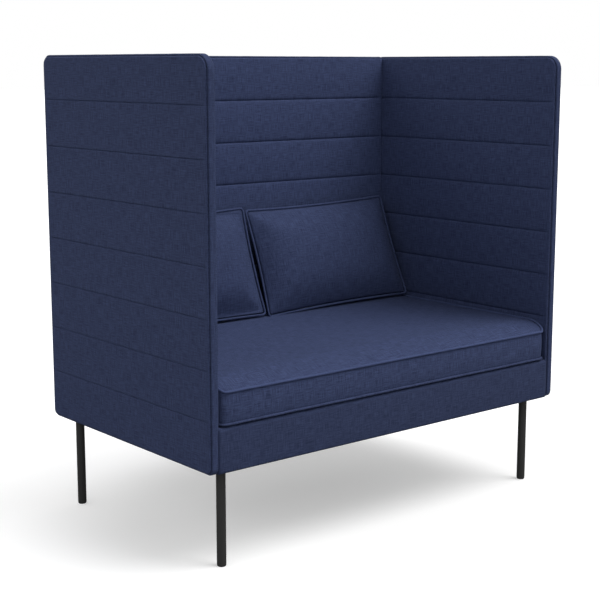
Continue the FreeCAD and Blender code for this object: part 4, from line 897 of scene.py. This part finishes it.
def pad_side(pad, sign, seed):
    """Where the points of one cover go: towards the front with sign 1, the rear with -1."""

    def place(u, v):
        x, y = (2.0 * u - 1.0) * PAD_HALF_WIDTH, (2.0 * v - 1.0) * PAD_HALF_HEIGHT
        x, y = round_corner(x, y, *PAD_PLAN)
        depth = max(outline_depth(x, y, *PAD_PLAN), 0.0)
        across, up = abs(x) / PAD_HALF_WIDTH, abs(y) / PAD_HALF_HEIGHT
        dome = 1.0 - PAD_FALL_ACROSS * across ** 2 - PAD_FALL_UP * up ** 2
        full = dome * (1.0 - (1.0 - min(depth / PAD_SHOULDER, 1.0)) ** PAD_FULLNESS)
        spot = Vector((x * PAD_UNEVEN_PITCH, y * PAD_UNEVEN_PITCH, seed + sign))
        uneven = 1.0 + PAD_UNEVEN * noise.noise(spot)
        out = sign * PAD_SWELL * full * uneven
        x, y = settled(x, y, pad)
        return Vector((x, y, out))

    return place


def pad_mesh(pad, seed):
    """Front and rear cover of a pad, joined along the seam."""
    mesh = shaped_grid(PAD_COLUMNS, PAD_ROWS, pad_side(pad, 1.0, seed))
    front = set(mesh.verts)
    bmesh.ops.create_grid(mesh, x_segments=PAD_COLUMNS, y_segments=PAD_ROWS, size=0.5)
    place = pad_side(pad, -1.0, seed)
    for vert in mesh.verts:
        if vert not in front:
            vert.co = place(vert.co.x + 0.5, vert.co.y + 0.5)
    bmesh.ops.remove_doubles(mesh, verts=mesh.verts, dist=0.00005)
    bmesh.ops.recalc_face_normals(mesh, faces=mesh.faces)
    return mesh


def pad_seam(pad, seed):
    """Path of the piped seam round a pad."""

    def path(share):
        point, out = rim_point(share, *PAD_PLAN)
        x, y = settled(point.x, point.y, pad)
        spot = Vector((x * PAD_SEAM_WAVER_PITCH, y * PAD_SEAM_WAVER_PITCH, seed))
        waver = PAD_SEAM_WAVER * noise.noise(spot)
        return Vector((x, y, waver)) + out * PAD_CORD_OUT, out, UP

    return path


for seed, (side, settings) in enumerate(PADS.items()):
    lean = Matrix.Translation(settings["middle"]) @ Matrix.Rotation(math.radians(90.0 - PAD_TILT), 4, "X")
    lean = lean @ Matrix.Rotation(math.radians(settings["turn"]), 4, "Z")
    lean = lean @ Matrix.Translation((0, 0, PAD_SEAM_FORWARD))
    mesh = pad_mesh(settings, 20.0 + 7.0 * seed)
    inflate(mesh, f"{side}_pad_filling_air", lambda point: abs(point.z) < PAD_SEAM_NEAR,
            FILLING_PRESSURE, PAD_FILLING_REACH)
    lay_weave(mesh)
    mesh.transform(lean)
    pad = make_piece(mesh, f"{side}_pad", navy, f"{side}_cushion", "navy_weave", f"{side}_pad_filling",
                     f"{side}_pad_cover")
    finer = pad.modifiers.new("finer", "SUBSURF")
    finer.levels = finer.render_levels = 1
    mesh = tube(PAD_CORD_COLUMNS, pad_seam(settings, 40.0 + seed))
    lay_weave(mesh)
    mesh.transform(lean)
    make_piece(mesh, f"{side}_pad_rim", pad_piping_painted_highlight, f"{side}_cushion", "navy_piping", f"{side}_pad_piping")

# Floor, light and camera: a pale studio floor that glows for the camera, more strongly away from the sofa,
# as painted light that lifts the sofa's shadow and fades it out, a wide soft lamp above the front right, a
# sky that is brightest at mid height and a little stronger on the left, and a camera at chest height to the
# left of the front.

# The floor's glow is painted light seen only by the camera: it lightens the sofa's cast shadow and grows
# with distance from the sofa.
FLOOR_SEEN, FLOOR_BOUNCE, FLOOR_GLOW, FLOOR_FAR_GLOW = 0.76, 0.22, 0.32, 0.53
SHADE_MIDDLE, SHADE_REACH, SHADE_END = (0.046, -0.103), (0.60, 0.42), 1.86
FLOOR_GRAIN, FLOOR_GRAIN_SCALE, FLOOR_HALF_SIZE = 0.005, (3.0, 3.0, 3.0), 60.0
floor_finish, floor_tree, floor_shader = start_finish("pale_floor", Roughness=0.9)
floor_shader.inputs["Specular IOR Level"].default_value = 0.0
floor_grain = speckle(floor_tree, stretched(floor_tree, "Object", FLOOR_GRAIN_SCALE), Detail=4.0)
floor_rays = add(floor_tree, "ShaderNodeLightPath")
floor_tone = add(floor_tree, "ShaderNodeMapRange")
floor_tone.inputs["To Min"].default_value = FLOOR_SEEN - FLOOR_GRAIN
floor_tone.inputs["To Max"].default_value = FLOOR_SEEN + FLOOR_GRAIN
floor_tree.links.new(floor_grain, floor_tone.inputs["Value"])
floor_mix = add(floor_tree, "ShaderNodeMix")
floor_mix.inputs["A"].default_value = FLOOR_BOUNCE
floor_tree.links.new(floor_rays.outputs["Is Camera Ray"], floor_mix.inputs["Factor"])
floor_tree.links.new(floor_tone.outputs["Result"], floor_mix.inputs["B"])
floor_tree.links.new(floor_mix.outputs["Result"], floor_shader.inputs["Base Color"])
floor_space = add(floor_tree, "ShaderNodeMapping")
floor_space.inputs["Scale"].default_value = (1.0 / SHADE_REACH[0], 1.0 / SHADE_REACH[1], 0.0)
floor_space.inputs["Location"].default_value = (-SHADE_MIDDLE[0] / SHADE_REACH[0],
                                                -SHADE_MIDDLE[1] / SHADE_REACH[1], 0.0)
floor_tree.links.new(add(floor_tree, "ShaderNodeTexCoord").outputs["Object"], floor_space.inputs["Vector"])
floor_away = add(floor_tree, "ShaderNodeVectorMath", operation="LENGTH")
floor_tree.links.new(floor_space.outputs["Vector"], floor_away.inputs[0])
floor_glow_by_distance = add(floor_tree, "ShaderNodeMapRange", interpolation_type="SMOOTHSTEP")
floor_glow_by_distance.inputs["From Min"].default_value = 1.0
floor_glow_by_distance.inputs["From Max"].default_value = SHADE_END
floor_glow_by_distance.inputs["To Min"].default_value = FLOOR_GLOW
floor_glow_by_distance.inputs["To Max"].default_value = FLOOR_FAR_GLOW
floor_tree.links.new(floor_away.outputs["Value"], floor_glow_by_distance.inputs["Value"])
floor_glow = add(floor_tree, "ShaderNodeMath", operation="MULTIPLY")
floor_tree.links.new(floor_glow_by_distance.outputs["Result"], floor_glow.inputs[1])
floor_tree.links.new(floor_rays.outputs["Is Camera Ray"], floor_glow.inputs[0])
floor_tree.links.new(floor_glow.outputs["Value"], floor_shader.inputs["Emission Strength"])
floor_shader.inputs["Emission Color"].default_value = (1.0, 1.0, 1.0, 1.0)
floor_mesh = bmesh.new()
bmesh.ops.create_grid(floor_mesh, x_segments=4, y_segments=4, size=FLOOR_HALF_SIZE)
floor_data = bpy.data.meshes.new("studio_floor")
floor_mesh.to_mesh(floor_data)
floor_mesh.free()
floor_data.materials.append(floor_finish)
floor = bpy.data.objects.new("studio_floor", floor_data)
bpy.context.scene.collection.objects.link(floor)

AMBIENT, LEFT_EXTRA, SUN, SUN_SPREAD, SUN_FROM = 1.2, 0.25, 2.05, 40.0, (0.354, -0.354, 0.866)
SKY = ((0.0, 0.14), (0.22, 0.25), (0.36, 1.15), (0.60, 1.15), (0.75, 0.15), (1.0, 0.0))
world = bpy.data.worlds.new("studio")
world.use_nodes = True
bpy.context.scene.world = world
sky = world.node_tree
room = sky.nodes["Background"]
sky_height = add(sky, "ShaderNodeSeparateXYZ")
sky.links.new(add(sky, "ShaderNodeTexCoord").outputs["Generated"], sky_height.inputs["Vector"])
sky_bands = add(sky, "ShaderNodeValToRGB")
for height, _ in SKY[1:-1]:
    sky_bands.color_ramp.elements.new(height)
for stop, (height, level) in zip(sky_bands.color_ramp.elements, SKY):
    stop.position = height
    stop.color = (level, level, level, 1.0)
sky.links.new(sky_height.outputs["Z"], sky_bands.inputs["Fac"])
sky_sides = add(sky, "ShaderNodeMath", operation="MULTIPLY_ADD")
sky_sides.inputs[1].default_value = -LEFT_EXTRA * AMBIENT
sky_sides.inputs[2].default_value = AMBIENT
sky.links.new(sky_height.outputs["X"], sky_sides.inputs[0])
sky.links.new(sky_sides.outputs["Value"], room.inputs["Strength"])
sky.links.new(sky_bands.outputs["Color"], room.inputs["Color"])
white = add(sky, "ShaderNodeBackground", Color=(1.0, 1.0, 1.0, 1.0), Strength=1.0)
rays = add(sky, "ShaderNodeLightPath")
seen = add(sky, "ShaderNodeMath", operation="MAXIMUM")
sky.links.new(rays.outputs["Is Camera Ray"], seen.inputs[0])
sky.links.new(rays.outputs["Is Glossy Ray"], seen.inputs[1])
mixed = add(sky, "ShaderNodeMixShader")
sky.links.new(seen.outputs["Value"], mixed.inputs["Fac"])
sky.links.new(room.outputs["Background"], mixed.inputs[1])
sky.links.new(white.outputs["Background"], mixed.inputs[2])
sky.links.new(mixed.outputs["Shader"], sky.nodes["World Output"].inputs["Surface"])

lamp_data = bpy.data.lights.new("soft_key", "SUN")
lamp_data.energy = SUN
lamp_data.angle = math.radians(SUN_SPREAD)
lamp = bpy.data.objects.new("soft_key", lamp_data)
lamp.rotation_euler = Vector(SUN_FROM).to_track_quat("Z", "Y").to_euler()
bpy.context.scene.collection.objects.link(lamp)

CAMERA_PLACE, CAMERA_YAW, CAMERA_PITCH, CAMERA_LENS = (-2.5069, -2.9852, 1.2757), 39.60, 10.02, 79.75
camera_data = bpy.data.cameras.new("camera")
camera_data.sensor_width = 36.0
camera_data.lens = CAMERA_LENS
camera = bpy.data.objects.new("camera", camera_data)
camera.location = CAMERA_PLACE
camera.rotation_euler = (math.radians(90.0 - CAMERA_PITCH), 0.0, math.radians(-CAMERA_YAW))
bpy.context.scene.collection.objects.link(camera)
bpy.context.scene.camera = camera
bpy.context.scene.view_settings.view_transform = "Standard"
